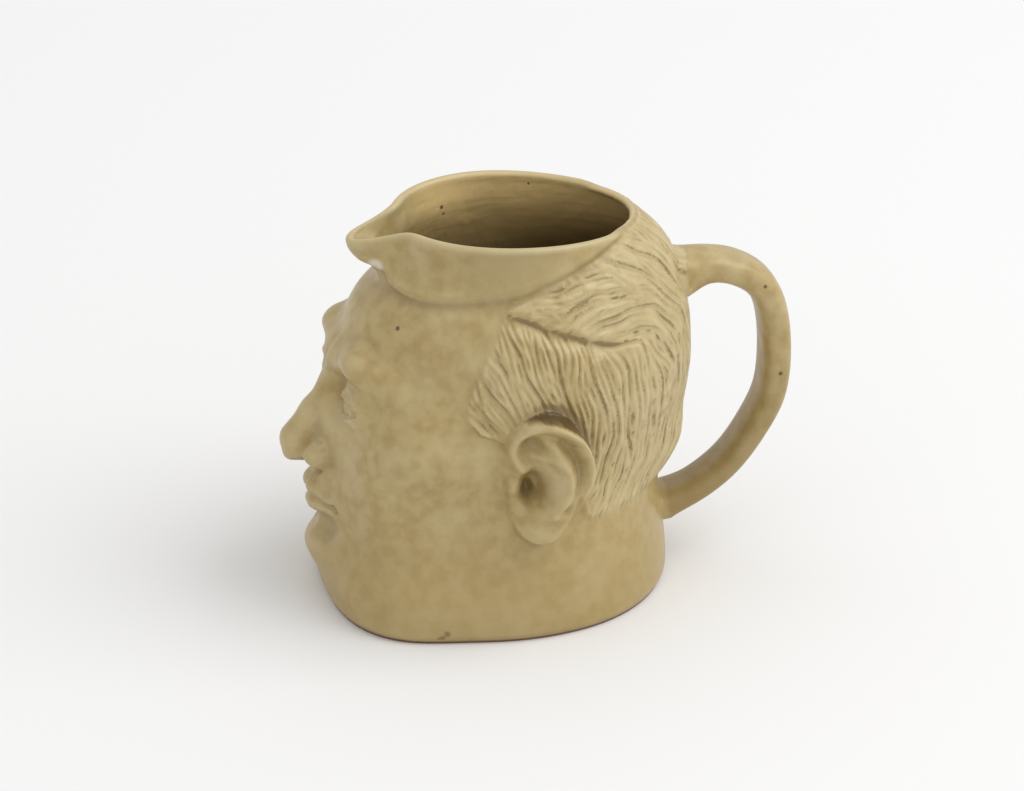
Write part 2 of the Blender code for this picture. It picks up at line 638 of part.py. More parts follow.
def handle():
    """The loop handle, its two ends sunk halfway into the wall of the head."""
    path = handle_path()
    tangent = np.gradient(path, axis=0)
    tangent = tangent / np.hypot(tangent[:, 0], tangent[:, 1])[:, None]
    run = np.concatenate([[0.0], np.cumsum(np.hypot(*np.diff(path, axis=0).T))])
    rings = []
    for i, (middle, direction) in enumerate(zip(path, tangent)):
        low = float(smooth(0.45, 0.8, run[i] / run[-1]))
        thick = HANDLE_THICK + (HANDLE_THIN - HANDLE_THICK) * low
        flare = ROOT_FLARE + (ROOT_FLARE_LOW - ROOT_FLARE) * low
        near_end = min(run[i], run[-1] - run[i])
        gain = flare * max(0.0, 1.0 - near_end / ROOT_LENGTH) ** 2
        rings.append(handle_ring(middle, direction, thick, gain))
    for i in (0, len(rings) - 1):
        ring = rings[i]
        ring[:, 1] = wall_behind(ring[:, 0], ring[:, 2]) - WALL / 2
    mesh = closed_skin("handle", rings, rings[0].mean(0), rings[-1].mean(0))
    return guide(add("handle", mesh))


def boolean(thing, name, operation, other):
    """Add or take away another solid, through a modifier."""
    step = thing.modifiers.new(name, "BOOLEAN")
    step.operation = operation
    step.solver = "EXACT"
    step.object = other


def glaze():
    """Satin khaki glaze."""
    material = bpy.data.materials.new("khaki_glaze")
    material.use_nodes = True
    shader = material.node_tree.nodes["Principled BSDF"]
    shader.inputs["Base Color"].default_value = (0.37, 0.28, 0.15, 1.0)
    shader.inputs["Roughness"].default_value = 0.32
    shader.inputs["Metallic"].default_value = 0.0
    return material


def stand():
    """An empty that carries the jug, so that the middle of its length is over the origin."""
    carrier = add("stand", None)
    tip = min(point.co.y for point in bpy.data.meshes["toby_jug"].vertices)
    carrier.location.y = -(tip + HANDLE_REACH) / 2
    for thing in bpy.context.scene.objects:
        if thing != carrier:
            thing.parent = carrier


def build():
    """The jug: cast, trimmed, cut flat and given its handle."""
    jug = casting()
    jug.data.materials.append(glaze())
    jug.data.shade_smooth()
    thin = jug.modifiers.new("fewer faces", "DECIMATE")
    triangles = sum(len(face.vertices) - 2 for face in jug.data.polygons)
    thin.ratio = BODY_TRIANGLES / triangles
    boolean(jug, "flat foot", "DIFFERENCE", table_cutter())
    boolean(jug, "foot ring", "DIFFERENCE", recess_cutter())
    boolean(jug, "handle", "UNION", handle())
    stand()


for leftover in list(bpy.data.objects):
    bpy.data.objects.remove(leftover)
build()
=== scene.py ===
"""Looks of the toby jug: its fine surface, its glaze, a pale floor, soft light and the camera.

The form is worked out in parts of the head's own measure, close to millimetres, about the
jug's upright axis: the face looks along -Y, the handle is at +Y and +X is the head's left.
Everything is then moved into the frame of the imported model.
"""
import math

import bpy
import bmesh
import numpy as np
from mathutils import Matrix, Vector


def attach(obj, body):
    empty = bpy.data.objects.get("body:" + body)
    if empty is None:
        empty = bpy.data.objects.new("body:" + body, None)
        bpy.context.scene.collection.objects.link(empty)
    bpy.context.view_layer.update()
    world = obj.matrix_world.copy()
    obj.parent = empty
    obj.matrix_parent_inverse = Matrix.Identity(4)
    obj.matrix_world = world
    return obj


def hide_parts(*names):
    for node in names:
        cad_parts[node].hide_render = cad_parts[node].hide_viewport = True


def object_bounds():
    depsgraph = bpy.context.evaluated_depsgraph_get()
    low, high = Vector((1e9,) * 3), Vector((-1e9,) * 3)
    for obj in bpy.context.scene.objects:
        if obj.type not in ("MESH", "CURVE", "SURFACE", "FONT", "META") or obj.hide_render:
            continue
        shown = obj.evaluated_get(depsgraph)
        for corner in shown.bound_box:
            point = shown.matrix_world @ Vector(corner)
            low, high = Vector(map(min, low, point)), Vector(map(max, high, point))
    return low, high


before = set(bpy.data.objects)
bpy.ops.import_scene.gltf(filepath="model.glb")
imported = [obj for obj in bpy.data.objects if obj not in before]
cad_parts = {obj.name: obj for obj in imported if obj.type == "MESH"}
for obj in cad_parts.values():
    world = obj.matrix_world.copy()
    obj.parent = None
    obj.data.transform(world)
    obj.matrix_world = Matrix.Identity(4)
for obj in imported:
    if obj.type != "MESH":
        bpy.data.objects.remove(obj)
cad_box = [list(corner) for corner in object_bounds()]

# Sizes of the jug, in metres
WALL = 0.0052
LIP = 0.0029
LIP_TAPER = 0.013
FLOOR = 0.0058
INNER_FILLET = 0.011
FOOT_ROUND = 0.0014
FOOT_RING = 0.0065
FOOT_RECESS = 0.0012
HANDLE_REACH = 0.0916
HANDLE_HIGH = 0.0993
HANDLE_LOW = 0.0186
HANDLE_THICK = 0.0097
HANDLE_THIN = 0.0080
HANDLE_WIDTH = 0.0162
HANDLE_ROUND = 0.72
ROOT_FLARE = 0.0030
ROOT_FLARE_LOW = 0.0014
ROOT_LENGTH = 0.0130
HAIR_RISE = 0.0011
LOCK_PITCH = 0.0062
LOCK_DEPTH = 0.0006
STRAND_PITCH = 0.0018
STRAND_WIDTH = 0.00100
STRAND_DEPTH = 0.00080
STRAND_WAVER = 0.14
PARTING_DEPTH = 0.0014
PARTING_WIDTH = 0.0024
SPOUT_HOLLOW = 0.0026
COLLAR_STEP = 0.0014

# The head's own measure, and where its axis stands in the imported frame
HEIGHT_IN_PARTS = 126.8
PART = 0.001
AXIS_Y = cad_box[1][1] - HANDLE_REACH

# The flat chart on which the hair is drawn, in parts: its radius round the axis, its lower edge,
# and its steps for the broad locks and the fine strands
CHART_RADIUS = 47.0
CHART_LOW = 30.0
LOCK_STEP = 1.0
STRAND_STEP = 0.25

# Casting: where the rays start and the most steps they take, first on a coarse grid and then on
# the full one, the share of the distance that a step covers, and how near counts as there
CAST_FROM = 110.0
CAST_STEPS = 60
RECAST_STEPS = 24
STEP_SHARE = 0.75
NEAR_ENOUGH = 0.01

# Mesh: columns round the jug, rows from foot to rim, triangles of the casting once thinned, how
# much coarser than the outside the inner wall is, and the steps of the rounded forms
COLUMNS = 960
ROWS = 300
TRIANGLES = 176000
INNER_SHARE = 4
LIP_STEPS = 8
FILLET_STEPS = 9
HANDLE_SIDES = 48
HANDLE_STEPS = 12


def smooth(low, high, value):
    """0 below low, 1 above high, and an easy slope between."""
    t = np.clip((value - low) / (high - low), 0.0, 1.0)
    return t * t * (3.0 - 2.0 * t)


def ellipsoid(p, centre, radii):
    """Distance to an ellipsoid."""
    q = p - np.array(centre, float)
    r = np.array(radii, float)
    near = np.sqrt(((q / r) ** 2).sum(-1))
    far = np.sqrt(((q / r ** 2) ** 2).sum(-1))
    return near * (near - 1.0) / np.maximum(far, 1e-9)


def cone(p, a, b, radius_a, radius_b):
    """Distance to a rounded cone from a to b."""
    a = np.array(a, float)
    along = np.array(b, float) - a
    t = np.clip(((p - a) @ along) / (along @ along), 0.0, 1.0)
    gap = np.sqrt(((p - a - t[..., None] * along) ** 2).sum(-1))
    return gap - (radius_a + (radius_b - radius_a) * t)


def column(p, radius_x, radius_y, middle=0.0, power=2.0):
    """Distance to an upright column, round or squarish, whose radii may change with height."""
    x = np.abs(p[..., 0] / radius_x)
    y = np.abs((p[..., 1] - middle) / radius_y)
    q = (x ** power + y ** power) ** (1.0 / power)
    return (q - 1.0) * np.minimum(radius_x, radius_y)


def join(a, b, blend):
    """Union with a fillet."""
    h = np.maximum(blend - np.abs(a - b), 0.0) / blend
    return np.minimum(a, b) - h * h * blend * 0.25


def carve(a, b, blend):
    """Take b out of a, with a fillet."""
    return -join(-a, b, blend)


def skull(p, m):
    """Skull, neck and jaw. m is p with its left half mirrored on to its right."""
    z = p[..., 2]
    foot = FOOT_ROUND / PART * (1.0 - smooth(0.0, 4.0, z)) ** 2
    waist = 7.5 * smooth(6.0, 55.0, z)
    neck = column(p, 49.6 - foot - waist, 50.6 - foot - waist)
    neck = -join(-neck, 62.0 - z, 22.0)
    d = join(ellipsoid(p, (0, 2, 78), (44, 55, 50)), neck, 12.0)
    d = join(d, back_of_head(p), 4.0)
    d = join(d, ellipsoid(p, (0, -24, 54), (35.0, 35.5, 48)), 10.0)
    taper = 9.0 * smooth(8.0, 34.0, z)
    jaw = column(p, 47.5 - foot - taper, 40.5 - foot - taper, -20.0, 2.7)
    jaw = -join(-jaw, 34.0 - z, 14.0)
    d = join(d, jaw, 8.0)
    d = join(d, cone(m, (33, -4, 30), (14, -44, 17), 11, 9), 10.0)
    d = join(d, ellipsoid(m, (26.5, -32, 59), (12.5, 13.5, 11)), 14.0)
    return join(d, ellipsoid(m, (22, -36, 38), (13, 16, 18)), 10.0)


def back_of_head(p):
    """The full back of the head, from the nape nearly straight up and over to the rim."""
    x, y, z = p[..., 0], p[..., 1], p[..., 2]
    q = np.stack([x, np.where(y < 0, 2.0 * y, y), z], -1)
    nape = 9.5 * smooth(50.0, 24.0, z)
    over = np.sqrt(1.0 - np.clip((z - 84.0) / 47.3, 0.0, 0.97) ** 3.3)
    return column(q, (37.0 - nape) * over, (55.6 - nape) * over)


def brow_and_chin(d, p, m):
    """Brow ridge, temples, muzzle, chin and eye sockets."""
    d = join(d, cone(m, (3, -53.2, 80.8), (17, -50.2, 83.4), 3.6, 3.6), 7.0)
    d = join(d, cone(m, (17, -50.2, 83.4), (27, -42.6, 80.5), 3.6, 2.6), 8.0)
    d = carve(d, ellipsoid(m, (50, -30, 86), (9, 15, 13)), 9.0)
    d = join(d, ellipsoid(p, (0, -44, 36), (21, 19, 16)), 7.0)
    d = join(d, ellipsoid(p, (0, -53.0, 17.5), (13.5, 12.5, 9.5)), 8.0)
    return carve(d, ellipsoid(m, (15.5, -60, 73), (10.5, 9.0, 8.0)), 6.0)


def nose(d, p, m):
    """Straight nose with rounded tip and wings."""
    n = cone(p, (0, -52.5, 77), (0, -61.5, 62), 3.4, 4.6)
    n = join(n, cone(p, (0, -61.5, 62), (0, -66.6, 53.2), 4.6, 6.4), 3.0)
    n = join(n, cone(m, (2, -54, 70), (6.5, -57, 54), 4.0, 4.5), 5.0)
    n = join(n, ellipsoid(m, (7.8, -61.0, 51.0), (3.9, 6.0, 4.8)), 2.0)
    n = join(n, cone(p, (0, -69.5, 48.6), (0, -60, 46.6), 2.4, 3.0), 2.0)
    d = join(d, n, 4.0)
    return carve(d, ellipsoid(m, (4.6, -63.5, 45.6), (2.3, 4.4, 3.6)), 1.2)


def mouth(d, p, m):
    """Closed lips, the groove over them and the hollow over the chin."""
    d = join(d, cone(m, (2.2, -61.9, 37.6), (11.6, -56.0, 35.0), 3.5, 1.5), 2.2)
    d = join(d, cone(m, (1.4, -61.2, 30.2), (10.4, -56.4, 32.4), 4.1, 1.8), 2.2)
    d = carve(d, cone(m, (0, -66.3, 34.2), (12.6, -58.7, 33.8), 1.2, 0.7), 0.8)
    d = carve(d, ellipsoid(m, (13.6, -57.9, 33.7), (1.0, 1.0, 1.2)), 2.0)
    d = carve(d, cone(p, (0, -66.6, 46.0), (0, -66.6, 40.5), 1.7, 2.2), 2.0)
    return carve(d, cone(m, (0, -66.5, 24.2), (9, -61.5, 24.6), 4.0, 3.6), 5.0)


def eyes(d, m):
    """Calm open eyes: a ball behind two lids, with a fold over the upper lid and a fine iris."""
    centre = (16.5, -45.6, 71.0)
    x, z = m[..., 0], m[..., 2]
    t = (x - 16.4) / 8.2
    middle = 70.6 + 0.5 * t
    upper = middle + 3.7 * (1.0 - np.abs(t) ** 2.3)
    lower = middle - 2.9 * (1.0 - np.abs(t) ** 2.0)
    gap = np.maximum(z - upper, lower - z)
    lids = np.maximum(ellipsoid(m, centre, (10.9, 10.9, 10.9)), -gap)
    d = join(d, lids, 1.6)
    fold = np.exp(-((z - upper - 2.3) / 0.7) ** 2) * smooth(1.05, 0.75, np.abs(t))
    d = d + 0.45 * fold * smooth(-25.0, -35.0, m[..., 1])
    ring = np.hypot(x - 16.3, z - 71.1)
    iris = 0.28 * np.exp(-((ring - 3.3) / 0.35) ** 2) + 0.5 * smooth(1.5, 0.9, ring)
    return np.minimum(d, ellipsoid(m, centre, (9.7, 9.7, 9.7)) + iris)


def collar_edge(degrees):
    """Height of the collar's lower edge, by angle from the face round to either side."""
    return np.interp(degrees, COLLAR_EDGE[:, 0], COLLAR_EDGE[:, 1])


def collar(d, p):
    """The smooth band under the rim, egg-shaped and drawn out into a spout at the front."""
    x, y, z = p[..., 0], p[..., 1], p[..., 2]
    reach = 14.5 * smooth(101.0, 119.0, z) * np.exp(-np.abs(x / 7.5) ** 3) * (y < 0)
    q = np.stack([x, np.where(y < 0, 1.12 * (y + reach), y), z], -1)
    flare = 1.4 * smooth(114.0, 126.0, z)
    band = column(q, 28.4 + flare, 38.6 + flare)
    return join(d, np.maximum(band, 90.0 - z), 5.0)


def head(p):
    """The whole head, without ears and hair."""
    m = np.stack([np.abs(p[..., 0]), p[..., 1], p[..., 2]], -1)
    d = brow_and_chin(skull(p, m), p, m)
    d = eyes(mouth(nose(d, p, m), p, m), m)
    return collar(d, p)


def cast(field, angle, z, start, steps):
    """Radius of the field's surface about the upright axis, walking inwards from a start."""
    r = start.copy()
    toward_x, toward_y = np.sin(angle), -np.cos(angle)
    live = np.ones(angle.shape, bool)
    for _ in range(steps):
        i = np.nonzero(live)
        d = field(np.stack([r[i] * toward_x[i], r[i] * toward_y[i], z[i]], -1))
        r[i] = np.maximum(r[i] - np.clip(STEP_SHARE * d, -1.0, 12.0), 4.0)
        live[i] = np.abs(d) > NEAR_ENOUGH
        if not live.any():
            break
    return r


def smooth_line(points, steps=8):
    """Points on a Catmull-Rom curve through a few given ones."""
    p = np.array(points, float)
    p = np.concatenate([2 * p[:1] - p[1:2], p, 2 * p[-1:] - p[-2:-1]])
    out = []
    for i in range(1, len(p) - 2):
        a, b, c, d = p[i - 1:i + 3]
        for t in np.arange(steps) / steps:
            out.append(0.5 * (2 * b + (c - a) * t + (2 * a - 5 * b + 4 * c - d) * t * t
                              + (3 * b - a - 3 * c + d) * t ** 3))
    out.append(p[-2])
    return np.array(out)


def to_line(u, v, line):
    """Distance from each point to a line, and how far along the line its nearest point is."""
    best = np.full(u.shape, 1e9)
    along = np.zeros(u.shape)
    for i in range(len(line) - 1):
        a, d = line[i], line[i + 1] - line[i]
        t = np.clip(((u - a[0]) * d[0] + (v - a[1]) * d[1]) / max(d @ d, 1e-9), 0.0, 1.0)
        gap = np.hypot(u - a[0] - t * d[0], v - a[1] - t * d[1])
        along = np.where(gap < best, (i + t) / (len(line) - 1), along)
        best = np.minimum(gap, best)
    return best, along


# The collar's lower edge: degrees from the face, and height
COLLAR_EDGE = smooth_line([(0, 113.5), (8, 112.3), (15, 108.8), (30, 107.9), (45, 108.7), (65, 110.2),
                           (85, 112.0), (100, 114.8), (117, 117.4), (135, 120.5), (150, 122.8),
                           (165, 125.0), (180, 126.0)])

# The ear, in parts from its own middle: first towards the back, then up
EAR_MIDDLE = (1.0, 55.4)
EAR_TILT = 0.10
EAR_RADII = (12.6, 15.8, 20.4, 15.0, 10.6, 12.4, 21.2, 12.8)
HELIX = smooth_line([(-2.0, 0.5), (-6.5, 3.0), (-9.0, 9.0), (-6.0, 16.0), (1.5, 18.6),
                     (8.0, 14.8), (11.2, 7.0), (10.6, -1.5), (7.6, -9.5), (4.5, -15.0)])
ANTIHELIX = smooth_line([(3.4, -10.5), (6.0, -5.5), (6.4, 0.5), (4.2, 6.5), (0.5, 12.5)])
LOWER_CRUS = smooth_line([(4.6, 5.5), (1.0, 7.2), (-3.0, 7.8)])
SCAPHA = smooth_line([(6.6, -9.5), (8.7, -3.5), (9.0, 3.0), (7.2, 9.0), (3.6, 14.0)])


def ear_outline(phi):
    """The ear's outline: a smooth closed curve through radii at even steps of angle."""
    wave = np.fft.rfft(np.array(EAR_RADII)) / len(EAR_RADII)
    total = np.full(np.shape(phi), wave[0].real)
    for k in range(1, len(wave)):
        share = 1.0 if 2 * k == len(EAR_RADII) else 2.0
        total = total + share * (wave[k].real * np.cos(k * phi) - wave[k].imag * np.sin(k * phi))
    return total


def ear(y, z):
    """How far the ear stands out from the side of the head."""
    back, up = y - EAR_MIDDLE[0], z - EAR_MIDDLE[1]
    b = back * math.cos(EAR_TILT) - up * math.sin(EAR_TILT)
    c = back * math.sin(EAR_TILT) + up * math.cos(EAR_TILT)
    inside = smooth(1.6, -1.4, np.hypot(b, c) - ear_outline(np.arctan2(c, b)))
    h = (1.2 + 7.8 * smooth(-11.0, 9.0, b)) * inside
    gap, along = to_line(b, c, HELIX)
    h = h + 3.0 * np.exp(-(gap / 2.0) ** 2) * smooth(0.0, 0.12, along) * smooth(1.0, 0.8, along)
    h = h + 2.7 * np.exp(-(to_line(b, c, ANTIHELIX)[0] / 1.9) ** 2)
    h = h + 1.2 * np.exp(-(to_line(b, c, LOWER_CRUS)[0] / 1.6) ** 2)
    concha = np.hypot((b + 1.6) / 4.9, (c + 4.2) / 8.0)
    canal = np.hypot((b + 3.2) / 2.4, (c + 6.6) / 3.4)
    fossa = np.hypot((b + 3.0) / 4.5, (c - 11.2) / 3.6)
    h = h - 5.8 * smooth(1.15, 0.25, concha) - 2.4 * smooth(1.2, 0.3, canal)
    h = h - 2.0 * smooth(1.2, 0.2, fossa)
    h = h - 1.6 * np.exp(-(to_line(b, c, SCAPHA)[0] / 1.3) ** 2)
    tragus = np.hypot((b + 8.2) / 2.4, (c + 4.0) / 3.2)
    antitragus = np.hypot((b - 1.0) / 2.6, (c + 11.4) / 2.2)
    lobe = np.hypot((b + 1.0) / 4.2, (c + 16.2) / 3.6)
    for bump, rise in ((tragus, 3.6), (antitragus, 2.2), (lobe, 2.6)):
        h = h + rise * np.exp(-bump ** 2)
    return h


def ears(x, y, z):
    """Relief of both ears, which fades out towards the middle of the head."""
    return ear(y, z) * smooth(26.0, 34.0, np.abs(x))


# The hairline on either side: degrees from the face, and height
HAIRLINE = smooth_line([(118, 30), (112, 37), (108, 46), (97, 58), (74, 67), (66, 70), (62, 76),
                        (63, 81), (66.5, 87), (69, 92.5), (73, 98.5), (75, 101.5), (75, 104.5),
                        (78, 107.5), (83, 109.5), (95, 112), (110, 115)])
NAPE = 36.0
COLLAR_GAP = 2.0
RIM_GAP = 1.8

# The parting on the head's left: degrees from the face, and height
PARTING = smooth_line([(74, 105.2), (84, 104.0), (93, 101.6), (102, 98.9), (111, 96.3), (119, 94.2),
                       (129, 91.8)])

# How the hair is combed at a few places over and under the parting, and on the head's right:
# degrees from the face, height, and degrees from straight back, upwards counting as positive
OVER = ((95, 109, -1), (92, 107, 11), (100, 104, 18), (114, 104, 22), (127, 98, 15), (139, 98, -12),
        (118, 111, -1), (142, 112, -30), (139, 104, -17), (153, 96, -48), (155, 103, -56),
        (137, 92, -4), (148, 85, -66), (160, 87, -80), (165, 108, -75), (178, 95, -90))
UNDER = ((80, 94, -64), (74, 93, -61), (67, 78, -49), (91, 92, -70), (92, 75, -64), (102, 91, -88),
         (121, 86, -76), (136, 80, -80), (111, 72, -74), (121, 57, -94), (137, 59, -80),
         (134, 44, -118), (122, 42, -125), (155, 45, -105), (158, 70, -88), (148, 85, -66),
         (160, 87, -80), (178, 60, -90))
RIGHT = ((78, 104, -25), (95, 109, -22), (115, 110, -35), (140, 110, -55), (160, 108, -78),
         (80, 92, -48), (105, 95, -50), (130, 95, -68), (155, 90, -85), (66, 78, -50),
         (92, 75, -66), (115, 72, -82), (140, 65, -90), (121, 55, -94), (134, 44, -112),
         (155, 45, -100), (178, 80, -90), (178, 105, -90), (178, 50, -90))


def hair_cover(degrees, z):
    """1 where there is hair, 0 on bare skin, by signed degrees from the face and height."""
    side = np.abs(degrees)
    front = np.interp(z, HAIRLINE[:, 1], HAIRLINE[:, 0])
    cover = smooth(-2.6, 2.2, side - front) * smooth(-2.0, 2.5, z - NAPE)
    top = np.minimum(collar_edge(side) - COLLAR_GAP, rim_height(np.radians(degrees)) - RIM_GAP)
    return cover * smooth(-0.6, 1.2, top - z)


def over_parting(degrees, z):
    """Height over the line of the parting, which is on the head's left only."""
    return z - np.interp(degrees, PARTING[:, 0], PARTING[:, 1])


def combed(side, v, places):
    """Direction of the hair between the given places, the nearest counting most."""
    total_u, total_v = np.zeros(np.shape(side)), np.zeros(np.shape(side))
    for degrees, height, turn in places:
        gap = ((side - degrees) * math.radians(CHART_RADIUS)) ** 2 + (v - height) ** 2
        weight = 1.0 / (gap + 12.0) ** 2
        total_u = total_u + weight * math.cos(math.radians(turn))
        total_v = total_v + weight * math.sin(math.radians(turn))
    length = np.hypot(total_u, total_v)
    return np.stack([total_u / length, total_v / length])


def waver(u, v):
    """A gentle turn this way and that, so that no two strands lie quite side by side."""
    dice = np.random.default_rng(11)
    turn = np.zeros(np.shape(u))
    waves = 14
    for _ in range(waves):
        length = dice.uniform(8.0, 20.0)
        toward, phase = dice.uniform(0.0, 2 * math.pi, 2)
        run = u * math.cos(toward) + v * math.sin(toward)
        turn = turn + np.sin(run * 2 * math.pi / length + phase)
    return turn * STRAND_WAVER * math.sqrt(2.0 / waves)


def hair_flow(u, v):
    """Direction in which the hair is combed, at a point of the flat chart."""
    degrees = np.degrees(u / CHART_RADIUS)
    side = np.abs(degrees)
    above = smooth(-1.0, 1.0, over_parting(degrees, v)) * smooth(76.0, 80.0, v)
    left = combed(side, v, OVER) * above + combed(side, v, UNDER) * (1.0 - above)
    flow = np.where(degrees < 0.0, combed(side, v, RIGHT), left)
    length = np.hypot(flow[0], flow[1])
    return np.where(degrees < 0.0, -1.0, 1.0) * flow[0] / length, flow[1] / length


class HairChart:
    """The hair's relief on a flat chart: degrees round the head across, height up."""

    def __init__(self, step):
        self.step = step
        self.low = CHART_LOW
        self.half = math.pi * CHART_RADIUS
        self.wide = int(2 * self.half / step) + 1
        self.high = int((HEIGHT_IN_PARTS - self.low) / step) + 1
        self.relief = np.zeros((self.high, self.wide))
        u = np.arange(self.wide) * step - self.half
        v = np.arange(self.high) * step + self.low
        self.u, self.v = np.meshgrid(u, v)
        self.cover = hair_cover(np.degrees(self.u / CHART_RADIUS), self.v)
        flow_u, flow_v = hair_flow(self.u, self.v)
        turn = waver(self.u, self.v)
        self.flow = np.stack([flow_u * np.cos(turn) - flow_v * np.sin(turn),
                              flow_u * np.sin(turn) + flow_v * np.cos(turn)], -1)

    def cells(self, u, v):
        """Row and column of a place on the chart."""
        column_at = np.clip(np.round((u + self.half) / self.step), 0, self.wide - 1)
        row_at = np.clip(np.round((v - self.low) / self.step), 0, self.high - 1)
        return row_at.astype(int), column_at.astype(int)

    def strands(self, pitch, longest, seed):
        """Evenly spaced strands, each traced along the flow until it meets another."""
        dice = np.random.default_rng(seed)
        taken = np.zeros(self.relief.shape, bool)
        size = int(0.75 * pitch / self.step) + 1
        offsets = np.array([(i, j) for i in range(-size, size + 1) for j in range(-size, size + 1)
                            if math.hypot(i, j) * self.step <= 0.75 * pitch])
        rows, columns = np.divmod(dice.permutation(taken.size), self.wide)
        hairy = self.cover[rows, columns] > 0.5
        lines = []
        for row, across in zip(rows[hairy][::7], columns[hairy][::7]):
            if taken[row, across]:
                continue
            start = (self.u[row, across], self.v[row, across])
            least = dice.uniform(0.05, 0.5)
            halves = [self.trace(*start, sign, longest / 2, taken, least) for sign in (-1.0, 1.0)]
            line = np.array(halves[0][::-1] + [start] + halves[1])
            if len(line) * self.step < 1.2 * pitch:
                continue
            row_at, column_at = self.cells(line[:, 0], line[:, 1])
            near_rows = np.clip(row_at[:, None] + offsets[:, 0], 0, self.high - 1)
            near_columns = np.clip(column_at[:, None] + offsets[:, 1], 0, self.wide - 1)
            taken[near_rows, near_columns] = True
            lines.append(line)
        return lines

    def trace(self, u, v, sign, longest, taken, least):
        """One end of a strand, in steps of the chart, as far as the hair covers the skin."""
        points = []
        for _ in range(int(longest / self.step)):
            row = min(max(round((v - self.low) / self.step), 0), self.high - 1)
            across = min(max(round((u + self.half) / self.step), 0), self.wide - 1)
            flow_u, flow_v = self.flow[row, across]
            u = u + sign * self.step * float(flow_u)
            v = v + sign * self.step * float(flow_v)
            row = min(max(round((v - self.low) / self.step), 0), self.high - 1)
            across = min(max(round((u + self.half) / self.step), 0), self.wide - 1)
            if abs(u) > self.half or self.cover[row, across] < least or taken[row, across]:
                break
            points.append((u, v))
        return points

    def groove(self, lines, width, depth, power, spread, seed):
        """Cut a groove along every line, fading at its ends, some deeper than others."""
        dice = np.random.default_rng(seed)
        reach = int(width / self.step) + 1
        span = np.arange(-reach, reach + 1)
        up, across = [g.ravel() for g in np.meshgrid(span, span, indexing="ij")]
        cut = np.zeros_like(self.relief)
        for line in lines:
            fade = np.sin(np.linspace(0.12, math.pi - 0.12, len(line))) ** 0.5
            fade = fade * (1.0 - spread * dice.random())
            row_at, column_at = self.cells(line[:, 0], line[:, 1])
            row_near = np.clip(row_at[:, None] + up, 0, self.high - 1)
            column_near = np.clip(column_at[:, None] + across, 0, self.wide - 1)
            gap = np.hypot(column_near * self.step - self.half - line[:, :1],
                           row_near * self.step + self.low - line[:, 1:])
            shape = np.clip(1.0 - gap / width, 0.0, 1.0) ** power
            np.maximum.at(cut, (row_near, column_near), depth * fade[:, None] * shape)
        self.relief -= cut

    def at(self, u, v):
        """Relief between the chart's samples."""
        x = np.clip((u + self.half) / self.step, 0, self.wide - 1.001)
        y = np.clip((v - self.low) / self.step, 0, self.high - 1.001)
        i, j = y.astype(int), x.astype(int)
        s, t = y - i, x - j
        top = self.relief[i + 1, j] * (1 - t) + self.relief[i + 1, j + 1] * t
        return (self.relief[i, j] * (1 - t) + self.relief[i, j + 1] * t) * (1 - s) + top * s


def finer(lines, times):
    """The same lines with more points on each."""
    out = []
    for line in lines:
        at = np.linspace(0, len(line) - 1, (len(line) - 1) * times + 1)
        whole = np.arange(len(line))
        out.append(np.stack([np.interp(at, whole, line[:, 0]), np.interp(at, whole, line[:, 1])], -1))
    return out


def hair(angle, z):
    """Relief of the hair: broad locks, fine strands and a parting on the head's left."""
    degrees = np.degrees(angle)
    cover = hair_cover(degrees, z)
    pitch = LOCK_PITCH / PART
    locks = HairChart(LOCK_STEP).strands(pitch, 9.0 * pitch, seed=4)
    chart = HairChart(STRAND_STEP)
    chart.groove(finer(locks, 3), 0.55 * pitch, LOCK_DEPTH / PART, 1.3, 0.3, seed=5)
    pitch = STRAND_PITCH / PART
    strands = chart.strands(pitch, 24.0 * pitch, seed=7)
    chart.groove(strands, STRAND_WIDTH / PART, STRAND_DEPTH / PART, 1.6, 0.35, seed=8)
    h = HAIR_RISE / PART * cover
    h = h + chart.at(angle * CHART_RADIUS, z)
    along = smooth(66.0, 92.0, degrees) * smooth(136.0, 118.0, degrees)
    furrow = np.exp(-(over_parting(degrees, z) / (PARTING_WIDTH / PART)) ** 2) * along
    return h - PARTING_DEPTH / PART * furrow


def rim_height(angle):
    """The rim dips a little behind and at the tip of the spout."""
    behind = (0.5 - 0.5 * np.cos(angle)) ** 2
    spout = np.exp(-(angle / 0.22) ** 2)
    return HEIGHT_IN_PARTS - 3.4 * behind - 5.6 * spout


def refine(coarse, rows, columns):
    """Stretch a grid of radii, whose columns run once round the jug, to a finer one."""
    wrapped = np.concatenate([coarse, coarse[:, :1]], axis=1)
    x = np.linspace(0, coarse.shape[1], columns, endpoint=False)
    y = np.linspace(0, coarse.shape[0] - 1.001, rows)
    i, j = y.astype(int), x.astype(int)
    s, t = (y - i)[:, None], (x - j)[None, :]
    low = wrapped[i][:, j] * (1 - t) + wrapped[i][:, j + 1] * t
    high = wrapped[i + 1][:, j] * (1 - t) + wrapped[i + 1][:, j + 1] * t
    return low * (1 - s) + high * s


def swollen(r):
    """The largest radius near each place, a little further out."""
    wide = np.maximum(r, np.maximum(np.roll(r, 1, axis=1), np.roll(r, -1, axis=1)))
    padded = np.concatenate([wide[:1], wide, wide[-1:]])
    return np.maximum(wide, np.maximum(padded[:-2], padded[2:])) + 0.6


